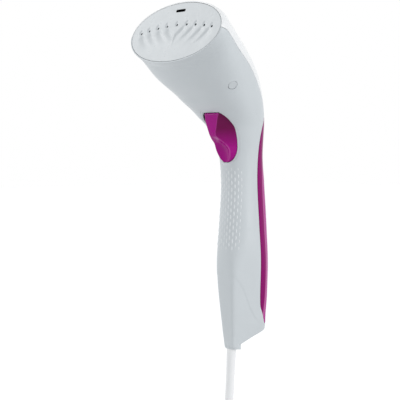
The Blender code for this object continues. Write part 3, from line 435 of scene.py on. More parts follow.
def thicken(bm, depth):
    """Turns an open sheet into a wall that goes in from it, and draws its outside in by each point's drop."""
    bm.normal_update()
    drop = bm.verts.layers.float["drop"]
    outer = {v: v.normal.copy() for v in bm.verts}
    rims = [(e.link_loops[0].vert, e.link_loops[0].link_loop_next.vert) for e in bm.edges if e.is_boundary]
    faces = [list(f.verts) for f in bm.faces]
    inner = {v: bm.verts.new(v.co - normal * depth) for v, normal in outer.items()}
    for verts in faces:
        bm.faces.new([inner[v] for v in verts[::-1]])
    for a, b in rims:
        bm.faces.new((b, a, inner[a], inner[b]))
    for v, normal in outer.items():
        v.co -= normal * v[drop]
    return bm


def dropped_sheet(bm, rows):
    """Adds a sheet of quads over rows of points that each carry a drop."""
    made = sheet_of(bm, [[point for point, _ in row] for row in rows])
    drop = bm.verts.layers.float["drop"]
    for verts, row in zip(made, rows):
        for v, (_, amount) in zip(verts, row):
            v[drop] = amount
    return made


# ---------------------------------------------------------------- the housing's skin


def mix(a, b, share):
    """The value between a and b."""
    return a + (b - a) * share


def ease(low, high, value):
    """0 at low, 1 at high and smooth between."""
    share = min(max((value - low) / (high - low), 0.0), 1.0)
    return share * share * (3 - 2 * share)


def spread(first, last, count):
    """Evenly spaced values, both ends included."""
    return [mix(first, last, k / (count - 1)) for k in range(count)]


def smooth_curve(xs, ys):
    """A curve through points that never overshoots them."""
    spans = [b - a for a, b in zip(xs, xs[1:])]
    slopes = [(b - a) / span for a, b, span in zip(ys, ys[1:], spans)]
    tangents = [slopes[0]]
    for k in range(1, len(slopes)):
        before, after = slopes[k - 1], slopes[k]
        if before * after <= 0:
            tangents.append(0.0)
            continue
        w1 = 2 * spans[k] + spans[k - 1]
        w2 = spans[k] + 2 * spans[k - 1]
        tangents.append((w1 + w2) / (w1 / before + w2 / after))
    tangents.append(slopes[-1])

    def value(x):
        k = 0
        while k < len(spans) - 1 and x > xs[k + 1]:
            k += 1
        s = min(max((x - xs[k]) / spans[k], 0.0), 1.0)
        return (
            (2 * s**3 - 3 * s**2 + 1) * ys[k]
            + (s**3 - 2 * s**2 + s) * spans[k] * tangents[k]
            + (3 * s**2 - 2 * s**3) * ys[k + 1]
            + (s**3 - s**2) * spans[k] * tangents[k + 1]
        )

    return value


STATION_PLACES = [row[0] for row in STATIONS]
STATION_CURVES = [smooth_curve(STATION_PLACES, [row[k] for row in STATIONS]) for k in range(1, 9)]
PARTING_CURVE = smooth_curve([row[0] for row in PARTING], [row[1] for row in PARTING])
sections = {}


def section(place):
    """The skin's section at a place along the body."""
    if place not in sections:
        sections[place] = [curve(place) for curve in STATION_CURVES]
    return sections[place]


def facet_reach(reach, cos_a, sin_a, forward, height, inset):
    """Cuts a section's reach back to the flat front and the flat sides of the foot."""
    share = (height - FACET_TOP) / (FACET_BOTTOM - FACET_TOP)
    front = mix(*FACET_FRONT, share) * MM
    half = mix(*FACET_HALF, share) * MM
    total = reach**-FACET_SHARPNESS
    if cos_a > 0:
        total += (cos_a / (front - forward - inset)) ** FACET_SHARPNESS
    side = abs(sin_a) + FACET_SPLAY * cos_a
    if side > 0:
        total += (side / (half + FACET_SPLAY * (front - forward) - inset)) ** FACET_SHARPNESS
    return total ** (-1 / FACET_SHARPNESS)


def sole_height(y):
    """Height of the slanted sole at a depth."""
    return SOLE_MIDDLE * MM + SOLE_SLOPE * y


def skin_point(place, angle, inset=0.0):
    """The point of the skin at a place along the body and an angle from the front, drawn in by an inset."""
    forward, height, tilt, front, back, half, front_power, back_power = section(place)
    cos_a, sin_a = math.cos(angle), math.sin(angle)
    power = front_power if cos_a > 0 else back_power
    reach = (front if cos_a > 0 else back) * MM - inset
    radius = (abs(cos_a / reach) ** power + abs(sin_a / (half * MM - inset)) ** power) ** (-1 / power)
    if height < FACET_TOP + 50:
        radius = facet_reach(radius, cos_a, sin_a, forward * MM, height, inset)
    tilt = math.radians(tilt)
    y = -(forward * MM + math.cos(tilt) * radius * cos_a)
    z = height * MM - math.sin(tilt) * radius * cos_a
    if place < FOOT_TOP:
        z = mix(sole_height(y), section(FOOT_TOP)[1] * MM, place / FOOT_TOP)
    return Vector((radius * sin_a, y, z))


def skin_normal(place, angle):
    """The direction out of the skin."""
    along = skin_point(place + 0.002, angle) - skin_point(place - 0.002, angle)
    across = skin_point(place, angle + 0.01) - skin_point(place, angle - 0.01)
    return across.cross(along).normalized()


def section_radius(place, angle):
    """Distance from a section's middle to its skin."""
    forward, height = section(place)[:2]
    return (skin_point(place, angle) - Vector((0.0, -forward * MM, height * MM))).length


def parting_angle(place, shift):
    """Angle of the parting line at a place, moved round the skin by a distance."""
    angle = math.radians(PARTING_CURVE(max(place, FOOT_TOP)))
    return angle + shift / section_radius(place, angle)


def rounding(distance, radius=EDGE):
    """How far a rounded edge drops at a distance from it."""
    if distance >= radius:
        return 0.0
    return radius - math.sqrt(radius**2 - (radius - distance) ** 2)


EDGE_STEPS = [EDGE * share for share in (0.0, 0.06, 0.2, 0.45, 0.8, 1.3)]


def band_inset(place):
    """The soft ledge behind the band round the head's rim."""
    if place >= BAND:
        return BAND_STEP * (1 - ease(BAND, BAND + 0.0022, place))
    return BAND_STEP * math.exp(-(BAND - place) / 0.02)


def facet_step(place, angle):
    """The soft step along the arc where the foot's flats begin, fading out at the parting line."""
    height = section(place)[1]
    limit = parting_angle(place, 0.0)
    arc = mix(*FACET_ARC, ease(0.15, 0.95, abs(angle) / limit))
    return FACET_STEP * ease(arc, arc - 2.5, height) * (1 - ease(0.86, 1.0, abs(angle) / limit))


def place_scale(place):
    """Millimetres of body length for one unit of place, as metres."""
    low, high = skin_point(place - 0.004, math.pi / 2), skin_point(place + 0.004, math.pi / 2)
    return (high - low).length / 0.008


def end_rows(place, direction):
    """Rows that round an end of the skin: places and how far each is drawn in."""
    scale = place_scale(place - direction * 0.004)
    return [(place - direction * d / scale, rounding(d)) for d in EDGE_STEPS]


def body_rows(first, last, pitch):
    """Places from one end to another, evenly spaced along the body."""
    fine = spread(first, last, 400)
    lengths = [0.0]
    for a, b in zip(fine, fine[1:]):
        lengths.append(lengths[-1] + (skin_point(b, math.pi / 2) - skin_point(a, math.pi / 2)).length)
    count = max(2, round(lengths[-1] / pitch) + 1)
    made, k = [], 0
    for target in spread(0.0, lengths[-1], count):
        while k < len(fine) - 2 and lengths[k + 1] < target:
            k += 1
        share = (target - lengths[k]) / (lengths[k + 1] - lengths[k])
        made.append(mix(fine[k], fine[k + 1], share))
    return made


# ---------------------------------------------------------------- materials


def new_look(name, colour, roughness, metallic=0.0, coat=0.0):
    """A Principled material and the parts of it that the other functions wire up."""
    look = bpy.data.materials.new(name)
    look.use_nodes = True
    nodes, links = look.node_tree.nodes, look.node_tree.links
    shader = nodes["Principled BSDF"]
    shader.inputs["Base Color"].default_value = (*colour, 1.0)
    shader.inputs["Roughness"].default_value = roughness
    shader.inputs["Metallic"].default_value = metallic
    shader.inputs["Coat Weight"].default_value = coat
    shader.inputs["Coat Roughness"].default_value = 0.08
    shader.inputs["IOR"].default_value = 1.49
    place = nodes.new("ShaderNodeTexCoord").outputs["Object"]
    return look, nodes, links, shader, place


def noise(nodes, links, place, scale, detail=3.0, stretch=None):
    """A noise value over the object, stretched along its axes if wanted."""
    if stretch:
        mapping = nodes.new("ShaderNodeMapping")
        mapping.inputs["Scale"].default_value = stretch
        links.new(place, mapping.inputs["Vector"])
        place = mapping.outputs["Vector"]
    node = nodes.new("ShaderNodeTexNoise")
    node.inputs["Scale"].default_value = scale
    node.inputs["Detail"].default_value = detail
    links.new(place, node.inputs["Vector"])
    return node.outputs["Fac"]


def ranged(nodes, links, value, low, high, from_low=0.0, from_high=1.0):
    """A value moved to another range."""
    node = nodes.new("ShaderNodeMapRange")
    node.inputs["From Min"].default_value = from_low
    node.inputs["From Max"].default_value = from_high
    node.inputs["To Min"].default_value = low
    node.inputs["To Max"].default_value = high
    links.new(value, node.inputs["Value"])
    return node.outputs["Result"]


def blend_colour(nodes, links, share, first, second):
    """A colour between two, by a share."""
    node = nodes.new("ShaderNodeMix")
    node.data_type = "RGBA"
    for name, colour in (("A", first), ("B", second)):
        socket = [s for s in node.inputs if s.name == name and s.type == "RGBA"][0]
        if isinstance(colour, tuple):
            socket.default_value = (*colour, 1.0)
        else:
            links.new(colour, socket)
    links.new(share, node.inputs["Factor"])
    return [s for s in node.outputs if s.type == "RGBA"][0]


def scaled(colour, factor):
    """A colour made lighter or darker."""
    return tuple(min(1.0, c * factor) for c in colour)


def plastic(
    name, colour, roughness, grain=900.0, depth=0.004, coat=0.0, variation=0.03, wear=0.1, shine=0.5
):
    """Moulded plastic: a fine grain, faint clouding in colour and gloss, and paler worn edges."""
    look, nodes, links, shader, place = new_look(name, colour, roughness, coat=coat)
    shader.inputs["Specular IOR Level"].default_value = shine
    cloud = noise(nodes, links, place, 28.0)
    tint = blend_colour(nodes, links, cloud, scaled(colour, 1 - variation), scaled(colour, 1 + variation))
    edge = nodes.new("ShaderNodeNewGeometry").outputs["Pointiness"]
    rubbed = ranged(nodes, links, edge, 0.0, wear, 0.53, 0.62)
    tint = blend_colour(nodes, links, rubbed, tint, scaled(colour, 1.35))
    links.new(tint, shader.inputs["Base Color"])
    smear = noise(nodes, links, place, 90.0, 5.0)
    gloss = ranged(nodes, links, smear, roughness * 0.85, roughness * 1.15, 0.3, 0.7)
    links.new(gloss, shader.inputs["Roughness"])
    bump = nodes.new("ShaderNodeBump")
    bump.inputs["Distance"].default_value = depth * MM
    bump.inputs["Strength"].default_value = 1.0
    links.new(noise(nodes, links, place, grain, 2.0), bump.inputs["Height"])
    links.new(bump.outputs["Normal"], shader.inputs["Normal"])
    return look


def trigger_look():
    """The trigger's plastic, with a painted highlight along its ridges and painted shade on the upper part's
    side faces.
    """
    look = plastic("trigger_plastic", MAGENTA, 0.2, grain=500.0, variation=0.05, wear=0.0, shine=0.14)
    nodes, links = look.node_tree.nodes, look.node_tree.links
    shader = nodes["Principled BSDF"]
    tint = shader.inputs["Base Color"].links[0].from_socket
    # Painted shade: faces of the upper part that turn to the side are darkened, standing for a dark reflection
    where = nodes.new("ShaderNodeTexCoord")
    facing = nodes.new("ShaderNodeSeparateXYZ")
    links.new(where.outputs["Normal"], facing.inputs[0])
    aside = nodes.new("ShaderNodeMath")
    aside.operation = "ABSOLUTE"
    links.new(facing.outputs["X"], aside.inputs[0])
    parts = nodes.new("ShaderNodeSeparateXYZ")
    links.new(where.outputs["Object"], parts.inputs[0])
    high = ranged(nodes, links, parts.outputs["Z"], 0.0, 1.0, 0.058, 0.078)
    turned_away = ranged(nodes, links, aside.outputs[0], 0.0, 1.0, 0.45, 0.62)
    painted_shade_mask = nodes.new("ShaderNodeMath")
    painted_shade_mask.operation = "MULTIPLY"
    links.new(high, painted_shade_mask.inputs[0])
    links.new(turned_away, painted_shade_mask.inputs[1])
    tint = blend_colour(nodes, links, painted_shade_mask.outputs[0], tint, MAGENTA_PAINTED_SHADE)
    # Painted highlight: sharp ridges, found by pointiness, are made lighter
    edge = nodes.new("ShaderNodeNewGeometry").outputs["Pointiness"]
    tint = blend_colour(nodes, links, ranged(nodes, links, edge, 0.0, 0.8, 0.515, 0.56), tint, MAGENTA_PAINTED_HIGHLIGHT)
    links.new(tint, shader.inputs["Base Color"])
    return look


def tank_look():
    """The tank's plastic: dark magenta at its sides, a pale painted highlight band where the back begins, and a
    lighter back that is painted highlight too.
    """
    look = plastic("tank_plastic", TANK_DEEP, 0.16, grain=300.0, depth=0.002, variation=0.06, shine=0.12)
    nodes, links = look.node_tree.nodes, look.node_tree.links
    shader = nodes["Principled BSDF"]
    clouded = shader.inputs["Base Color"].links[0].from_socket
    parts = nodes.new("ShaderNodeSeparateXYZ")
    links.new(nodes.new("ShaderNodeTexCoord").outputs["Object"], parts.inputs[0])
    aside = nodes.new("ShaderNodeMath")
    aside.operation = "ABSOLUTE"
    links.new(parts.outputs["X"], aside.inputs[0])
    slant = nodes.new("ShaderNodeMath")
    slant.operation = "DIVIDE"
    links.new(parts.outputs["Y"], slant.inputs[0])
    links.new(aside.outputs[0], slant.inputs[1])
    # Painted highlight: the back of the tank is made lighter
    paler = ranged(nodes, links, slant.outputs[0], 0.0, 1.0, 0.62, 0.70)
    tint = blend_colour(nodes, links, paler, clouded, TANK_BACK_HIGHLIGHT)
    # Painted highlight: a pale band where the sides turn to the back
    rise = ranged(nodes, links, slant.outputs[0], 0.0, 1.0, 0.60, 0.66)
    fall = ranged(nodes, links, slant.outputs[0], 1.0, 0.0, 0.66, 0.74)
    streak_highlight_mask = nodes.new("ShaderNodeMath")
    streak_highlight_mask.operation = "MULTIPLY"
    links.new(rise, streak_highlight_mask.inputs[0])
    links.new(fall, streak_highlight_mask.inputs[1])
    tint = blend_colour(nodes, links, streak_highlight_mask.outputs[0], tint, TANK_STREAK_HIGHLIGHT)
    links.new(tint, shader.inputs["Base Color"])
    return look


def metal(name, colour, roughness, stretch=(1.0, 1.0, 12.0), depth=0.01):
    """Bare metal with drawn lines and dull patches."""
    look, nodes, links, shader, place = new_look(name, colour, roughness, metallic=1.0)
    lines = noise(nodes, links, place, 240.0, 4.0, stretch)
    gloss = ranged(nodes, links, lines, roughness * 0.7, roughness * 1.4, 0.3, 0.7)
    links.new(gloss, shader.inputs["Roughness"])
    patch = noise(nodes, links, place, 60.0)
    tint = blend_colour(nodes, links, patch, scaled(colour, 0.85), scaled(colour, 1.08))
    links.new(tint, shader.inputs["Base Color"])
    bump = nodes.new("ShaderNodeBump")
    bump.inputs["Distance"].default_value = depth * MM
    links.new(lines, bump.inputs["Height"])
    links.new(bump.outputs["Normal"], shader.inputs["Normal"])
    return look


def make_looks():
    """Every material, by the record's slot name."""
    return {
        "shell_plastic": plastic("shell_plastic", SHELL_COLOUR, 0.36, depth=0.006),
        "cover_plastic": plastic("cover_plastic", COVER_COLOUR, 0.28, coat=0.2),
        "tank_plastic": tank_look(),
        "trigger_plastic": trigger_look(),
        "inner_plastic": plastic("inner_plastic", (0.35, 0.35, 0.36), 0.55, depth=0.012),
        "black_plastic": plastic("black_plastic", (0.03, 0.03, 0.03), 0.45, depth=0.01),
        # Painted shade: near black and without gloss, for the insides of the steam holes and slot
        "dark": plastic("dark", (0.004, 0.004, 0.004), 0.9, shine=0.0),
        "seal_rubber": plastic("seal_rubber", (0.2, 0.2, 0.21), 0.7, depth=0.02),
        "steel": metal("steel", (0.62, 0.62, 0.62), 0.3),
        "casting": metal("casting", (0.55, 0.56, 0.57), 0.5, (1.0, 1.0, 1.0), 0.05),
        "plate_enamel": plastic("plate_enamel", (0.62, 0.65, 0.665), 0.3, grain=400.0, depth=0.002, wear=0.0),
        "pin_brass": metal("pin_brass", (0.68, 0.63, 0.5), 0.22),
        "board": plastic("board", (0.03, 0.22, 0.08), 0.4, grain=700.0, depth=0.01),
        # Painted highlight: the dots are a lighter copy of the shell's grey
        "grip_dots": plastic("grip_dots", DOT_HIGHLIGHT_COLOUR, 0.2, depth=0.002),
        "lens_plastic": plastic("lens_plastic", scaled(SHELL_COLOUR, 0.97), 0.3, depth=0.003),
        "cord_plastic": plastic("cord_plastic", (0.86, 0.862, 0.865), 0.2, grain=500.0, depth=0.002, coat=0.3),
        "wire_brown": plastic("wire_brown", (0.25, 0.08, 0.03), 0.4),
        "wire_blue": plastic("wire_blue", (0.03, 0.1, 0.4), 0.4),
    }


def dress_frame(looks):
    """Gives every CAD node the material of its slot."""
    for row in frame["record"]["subparts"]:
        data = frame["nodes"][row["node"]].data
        data.materials.clear()
        data.materials.append(looks[row["material_slot"]])


# ---------------------------------------------------------------- the lead


def bend_through(route, count):
    """Points spread along a smooth curve through a short route in millimetres."""
    steps = [0.0]
    for a, b in zip(route, route[1:]):
        steps.append(steps[-1] + (Vector(b) - Vector(a)).length)
    parts = [smooth_curve(steps, [p[axis] for p in route]) for axis in range(3)]
    places = [steps[-1] * k / (count - 1) for k in range(count)]
    return [Vector([part(s) for part in parts]) * MM for s in places]


def coil_point(turns):
    """A point of the coil, a number of turns on from its top."""
    lane = min(int(turns), len(COIL_LANES) - 1)
    out, back = COIL_LANES[lane]
    if lane + 1 < len(COIL_LANES):
        share = ease(0.80, 1.0, turns - lane)
        out = mix(out, COIL_LANES[lane + 1][0], share)
        back = mix(back, COIL_LANES[lane + 1][1], share)
    radius = COIL_RADIUS + out * 2 * CORD_RADIUS
    angle = 2 * math.pi * turns
    return COIL_CENTRE + Vector((radius * math.sin(angle), back * 2 * CORD_RADIUS, radius * math.cos(angle)))


def hermite(start, start_way, end, end_way, count):
    """Points between two points on a curve with a given direction at each end, without the ends."""
    made = []
    for k in range(1, count):
        s = k / count
        made.append(
            (2 * s**3 - 3 * s**2 + 1) * start
            + (s**3 - 2 * s**2 + s) * start_way
            + (3 * s**2 - 2 * s**3) * end
            + (s**3 - s**2) * end_way
        )
    return made


def lead_route():
    """The whole lead: down from the strain relief, round the coil and down to the plug."""
    hanging = bend_through(LEAD_ROUTE, 24)[:16]
    joins_at = 0.19
    turns = spread(joins_at, len(COIL_LANES) - 1 + 0.25, 420)
    wound = [coil_point(t) for t in turns]
    first_way = (hanging[-1] - hanging[-2]).normalized()
    last_way = (wound[1] - wound[0]).normalized()
    reach = (wound[0] - hanging[-1]).length
    joining = hermite(hanging[-1], first_way * reach, wound[0], last_way * reach, 16)
    end = wound[-1].copy()
    end.z = COIL_CENTRE.z - 47.0 * MM
    tail = [wound[-1].lerp(end, k / 8) for k in range(1, 9)]
    return hanging + joining + wound + tail


def make_lead(looks):
    """The lead and its coil as one round cord."""
    route = lead_route()
    curve = bpy.data.curves.new("mains_lead", "CURVE")
    curve.dimensions = "3D"
    curve.bevel_depth = CORD_RADIUS
    curve.bevel_resolution = 6
    curve.use_fill_caps = True
    line = curve.splines.new("POLY")
    line.points.add(len(route) - 1)
    for point, place in zip(line.points, route):
        point.co = (*place, 1.0)
    line.use_smooth = True
    lead = bpy.data.objects.new("mains_lead", curve)
    bpy.context.scene.collection.objects.link(lead)
    dress(lead, looks["cord_plastic"], "body")
    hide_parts("mains_cord", "cord_coil")
    return lead, route


def make_relief(looks):
    """The smooth tapered strain relief."""
    profile = [(0.0, 0.0), (4.4, 0.0), (4.8, -0.5), (5.0, -1.2), (5.0, -17.0), (5.1, -18.5), (5.1, -24.0)]
    profile += [(4.95, -32.0), (4.78, -40.0), (4.72, -RELIEF_END), (0.0, -RELIEF_END)]
    bm = bmesh.new()
    closed_loft(bm, turned_rings([(r * MM, z * MM) for r, z in profile]))
    outward(bm)
    relief = as_object("lead_relief", bm)
    relief.location = RELIEF_TOP
    relief.rotation_euler = (RELIEF_LEAN, 0, 0)
    dress(relief, looks["cord_plastic"], "body", sharp=50.0)
    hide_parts("strain_relief")
    return relief


def make_tie(looks):
    """The soft strap round the coil, with a rounded edge."""
    half, inner, outer = 5.0, 14.6, 16.2
    profile = [(inner, -half), (outer - 0.6, -half), (outer - 0.2, -half + 0.2), (outer, -half + 0.6)]
    profile += [(outer, half - 0.6), (outer - 0.2, half - 0.2), (outer - 0.6, half), (inner, half)]
    bm = bmesh.new()
    rings = turned_rings([(r * MM, z * MM) for r, z in profile])
    close_loop(bm, closed_loft(bm, rings, ends=False))
    outward(bm)
    tie = as_object("coil_strap", bm)
    tie.location = COIL_CENTRE + Vector((math.cos(TIE_ANGLE), 0, math.sin(TIE_ANGLE))) * COIL_RADIUS
    tie.rotation_euler = (0, -TIE_ANGLE, 0)
    dress(tie, looks["black_plastic"], "body")
    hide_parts("cord_tie")
    return tie


def make_plug(looks):
    """The moulded plug: a ribbed neck that flares into a rounded square body with grip ridges."""
    top = COIL_CENTRE + Vector((COIL_RADIUS, 0, -48.4 * MM))
    rows = [(3.0, 3.0, 0.0, 2.0), (5.0, 5.0, 0.2, 2.0), (5.5, 5.5, 0.8, 2.0)]
    for k in range(4):
        drop = 2.4 + 2.6 * k
        rows += [(5.6, 5.6, drop, 2.0), (5.1, 5.1, drop + 0.3, 2.0)]
        rows += [(5.1, 5.1, drop + 1.0, 2.0), (5.7, 5.7, drop + 1.3, 2.0)]
    rows += [(6.2, 6.0, 13.4, 2.1), (7.4, 6.4, 15.0, 2.4), (10.4, 7.6, 17.4, 2.8), (13.8, 9.2, 20.0, 3.2)]
    rows += [(16.2, 10.6, 22.6, 3.4), (17.6, 11.8, 26.0, 3.4), (18.1, 12.4, 30.0, 3.4)]
    for k in range(3):
        drop = 31.0 + 2.4 * k
        rows += [(18.15, 12.5, drop, 3.4), (17.7, 12.0, drop + 0.4, 3.4)]
        rows += [(17.7, 12.0, drop + 1.0, 3.4), (18.15, 12.5, drop + 1.4, 3.4)]
    rows += [(18.15, 12.5, 42.6, 3.4), (17.9, 12.3, 43.4, 3.4)]
    rows += [(17.2, 11.6, 43.9, 3.4), (3.0, 3.0, 44.0, 2.0)]
    rings = []
    for half_x, half_y, drop, power in rows:
        ring = []
        for k in range(64):
            angle = 2 * math.pi * k / 64
            cos_a, sin_a = math.cos(angle), math.sin(angle)
            square = (abs(cos_a) ** power + abs(sin_a) ** power) ** (-1 / power)
            ring.append(top + Vector((half_x * square * cos_a, half_y * square * sin_a, -drop)) * MM)
        rings.append(ring)
    bm = bmesh.new()
    closed_loft(bm, rings)
    outward(bm)
    plug = as_object("plug_moulding", bm)
    dress(plug, looks["cord_plastic"], "body", sharp=50.0)
    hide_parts("plug_body")
    pins = []
    for name, node, side in (("plug_pin_one", "plug_pin_live", 1), ("plug_pin_two", "plug_pin_neutral", -1)):
        profile = [(0.0, 0.0), (2.4, 0.0), (2.4, -16.6), (2.2, -18.0), (1.6, -18.8), (0.0, -19.0)]
        bm = bmesh.new()
        closed_loft(bm, turned_rings([(r * MM, z * MM) for r, z in profile], 32))
        outward(bm)
        pin = as_object(name, bm)
        pin.location = top + Vector((side * 9.5 * MM, 0, -44.3 * MM))
        dress(pin, looks["pin_brass"], "body")
        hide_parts(node)
        pins.append(pin)
    return [plug, *pins]


def make_cord(looks):
    """The whole lead with what is on it."""
    lead, route = make_lead(looks)
    pieces = [make_relief(looks), make_tie(looks), *make_plug(looks)]


# ---------------------------------------------------------------- the front shell


TRIGGER_OUTLINE = smooth_curve([row[0] for row in TRIGGER[::-1]], [row[1] for row in TRIGGER[::-1]])
TRIGGER_TOP, TRIGGER_BOTTOM = TRIGGER[0][0], TRIGGER[-1][0]


def trigger_ring(grow):
    """The trigger's outline from the front, grown by a distance, as x and z pairs in metres."""
    half = [(TRIGGER_OUTLINE(z), z) for z in spread(TRIGGER_TOP, TRIGGER_BOTTOM, 60)]
    ring = [Vector(p) for p in half + [(-x, z) for x, z in half[::-1]]]
    grown = []
    for k, point in enumerate(ring):
        before, after = ring[k - 1], ring[(k + 1) % len(ring)]
        way = (after - before).normalized()
        grown.append((point + Vector((-way.y, way.x)) * grow / MM) * MM)
    return [(p.x, p.y) for p in grown]


def outline_distance(ring, x, z):
    """Distance from a point to a closed outline, less than nothing inside it."""
    best, inside = 1.0, False
    for k in range(len(ring)):
        ax, az = ring[k]
        bx, bz = ring[(k + 1) % len(ring)]
        dx, dz = bx - ax, bz - az
        share = ((x - ax) * dx + (z - az) * dz) / max(dx * dx + dz * dz, 1e-14)
        share = min(max(share, 0.0), 1.0)
        best = min(best, math.hypot(x - ax - dx * share, z - az - dz * share))
        if (az > z) != (bz > z) and x < ax + dx * (z - az) / dz:
            inside = not inside
    return -best if inside else best


def front_angles(place):
    """Angles of the front shell's columns at a place, from one parting line to the other, and their insets."""
    limit = parting_angle(place, -GAP / 2)
    radius = section_radius(place, limit)
    edge = [(limit - d / radius, rounding(d)) for d in EDGE_STEPS]
    inner = [(a, 0.0) for a in spread(edge[-1][0], -edge[-1][0], FRONT_COLUMNS)[1:-1]]
    mirrored = [(-a, inset) for a, inset in edge[::-1]]
    return edge + inner + mirrored


def front_shell_sheet():
    """The outside of the front shell as one sheet: foot, handle front and head front."""
    bm = bmesh.new()
    drop = bm.verts.layers.float.new("drop")
    foot_scale = SOLE_DROP / FOOT_TOP
    steps = [SOLE_ROUND * share for share in (0.0, 0.1, 0.3, 0.6, 1.0)]
    foot_edge = [(d, rounding(d, SOLE_ROUND)) for d in steps]
    rows = [(d / foot_scale, inset, 0.0) for d, inset in foot_edge]
    rows += [(p, 0.0, 0.0) for p in spread(0.016, 0.084, 16)]
    rows += [(p, 0.0, amount) for p, amount in end_rows(FOOT_TOP, 1)[::-1]]
    made = []
    for place, inset, amount in rows:
        front = [angle for angle, _ in front_angles(place)]
        rear = spread(-front[0], front[0] - 2 * math.pi, 48)[1:-1]
        ring = [bm.verts.new(skin_point(place, angle, inset)) for angle in front + rear]
        for v in ring[len(front) :] + [ring[0], ring[len(front) - 1]]:
            v[drop] = amount
        for v, angle in zip(ring[1 : len(front) - 1], front[1:-1]):
            v[drop] = facet_step(place, angle)
        made.append(ring)
    for low, high in zip(made, made[1:]):
        for k in range(len(low)):
            n = (k + 1) % len(low)
            bm.faces.new((low[k], low[n], high[n], high[k]))
    bm.faces.new(made[0][::-1])
    rim = end_rows(RIM, 1)[::-1]
    upper = [(p, 0.0) for p in body_rows(FOOT_TOP + 0.004, rim[0][0], 1.7 * MM)[:-1]] + rim
    sheet = [made[-1][: len(front_angles(FOOT_TOP))]]
    for place, rim_drop in upper:
        row = []
        for angle, side_drop in front_angles(place):
            v = bm.verts.new(skin_point(place, angle))
            v[drop] = max(side_drop, rim_drop, band_inset(place), facet_step(place, angle))
            row.append(v)
        sheet.append(row)
    for low, high in zip(sheet, sheet[1:]):
        for k in range(len(low) - 1):
            bm.faces.new((low[k], low[k + 1], high[k + 1], high[k]))
    return bm


def refine_near(bm, inside, cuts):
    """Divides the faces whose middles pass a test."""
    faces = [f for f in bm.faces if len(f.verts) == 4 and inside(f.calc_center_median())]
    edges = list({e for f in faces for e in f.edges})
    bmesh.ops.subdivide_edges(bm, edges=edges, cuts=cuts, use_grid_fill=True)


def shape_lip(bm):
    """Draws the shell in round the trigger, as a soft lip."""
    ring = trigger_ring(TRIGGER_CLEARANCE * MM)
    middle_z = 68 * MM

    def near(point):
        if point.y > -12 * MM or abs(point.z - middle_z) > 36 * MM or abs(point.x) > 30 * MM:
            return False
        return abs(outline_distance(ring, point.x, point.z)) < 4.5 * MM

    refine_near(bm, near, 3)
    drop = bm.verts.layers.float["drop"]
    for v in bm.verts:
        if near(v.co):
            d = outline_distance(ring, v.co.x, v.co.z)
            lip = LIP_STEP * (1 - ease(LIP_WIDTH, LIP_WIDTH + 0.5 * MM, d))
            v[drop] = lip + rounding(max(d, 0.0), 0.6 * MM)


def make_front_shell(looks):
    """The grey shell, with its openings for the trigger, the indicator, the latch and the lead."""
    bm = front_shell_sheet()
    face_out(bm)
    shape_lip(bm)
    shell = as_object("front_housing", thicken(bm, WALL))
    hole = bmesh.new()
    ring = trigger_ring(TRIGGER_CLEARANCE * MM)
    closed_loft(hole, [[Vector((x, y, z)) for x, z in ring] for y in (-62 * MM, -12 * MM)])
    cut(shell, hole)
    at, out = indicator_place()
    lens_hole = bmesh.new()
    add_rod(lens_hole, at - out * 5 * MM, at + out * 5 * MM, 5.3 * MM, 64)
    cut(shell, lens_hole)
    lean = Vector((0, math.sin(RELIEF_LEAN), -math.cos(RELIEF_LEAN)))
    lead_hole = bmesh.new()
    add_rod(lead_hole, RELIEF_TOP - lean * 2 * MM, RELIEF_TOP + lean * 24 * MM, 5.4 * MM)
    cut(shell, lead_hole)
    latch_hole = bmesh.new()
    bmesh.ops.create_cube(latch_hole, size=1.0, matrix=Matrix.Diagonal((14 * MM, 19 * MM, 12 * MM, 1.0)))
    sole_y = 6 * MM
    turn = Matrix.Rotation(math.atan(SOLE_SLOPE), 4, "X")
    place = Matrix.Translation((0, sole_y, sole_height(sole_y))) @ turn
    bmesh.ops.transform(latch_hole, matrix=place, verts=latch_hole.verts)
    cut(shell, latch_hole)
    dress(shell, looks["shell_plastic"], "body", sharp=50.0)
    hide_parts("front_shell")
    return shell


def indicator_place():
    """Centre and outward direction of the indicator on the side of the head."""
    place, angle = 0.888, math.radians(66.0)
    return skin_point(place, angle), skin_normal(place, angle)


def make_boss(looks):
    """The collar where the lead leaves the foot, blended up into the sole behind it."""
    angles = [2 * math.pi * k / 72 for k in range(72)]
    lead_y = -17.0 * MM
    rings = []
    for z in (BOSS_BOTTOM + 11 * MM, BOSS_BOTTOM + 0.6 * MM):
        rings.append([Vector((5.4 * MM * math.cos(a), lead_y + 5.4 * MM * math.sin(a), z)) for a in angles])
    for rise, grow in BOSS_PROFILE:
        ring = []
        for a in angles:
            behind = max(math.sin(a), 0.0)
            x = (8.9 + min(grow, 0.0)) * math.cos(a)
            y = -14.4 + (7.7 + min(grow, 0.0)) * math.sin(a) + max(grow, 0.0) * behind
            slant = -BOSS_SLANT * behind * (1 - rise / BOSS_PROFILE[-1][0])
            ring.append(Vector((x * MM, y * MM, BOSS_BOTTOM + (rise + slant) * MM)))
        rings.append(ring)
    bm = bmesh.new()
    closed_loft(bm, rings, ends=False)
    bmesh.ops.recalc_face_normals(bm, faces=bm.faces)
    boss = as_object("lead_collar", bm)
    return dress(boss, looks["shell_plastic"], "body", sharp=50.0)


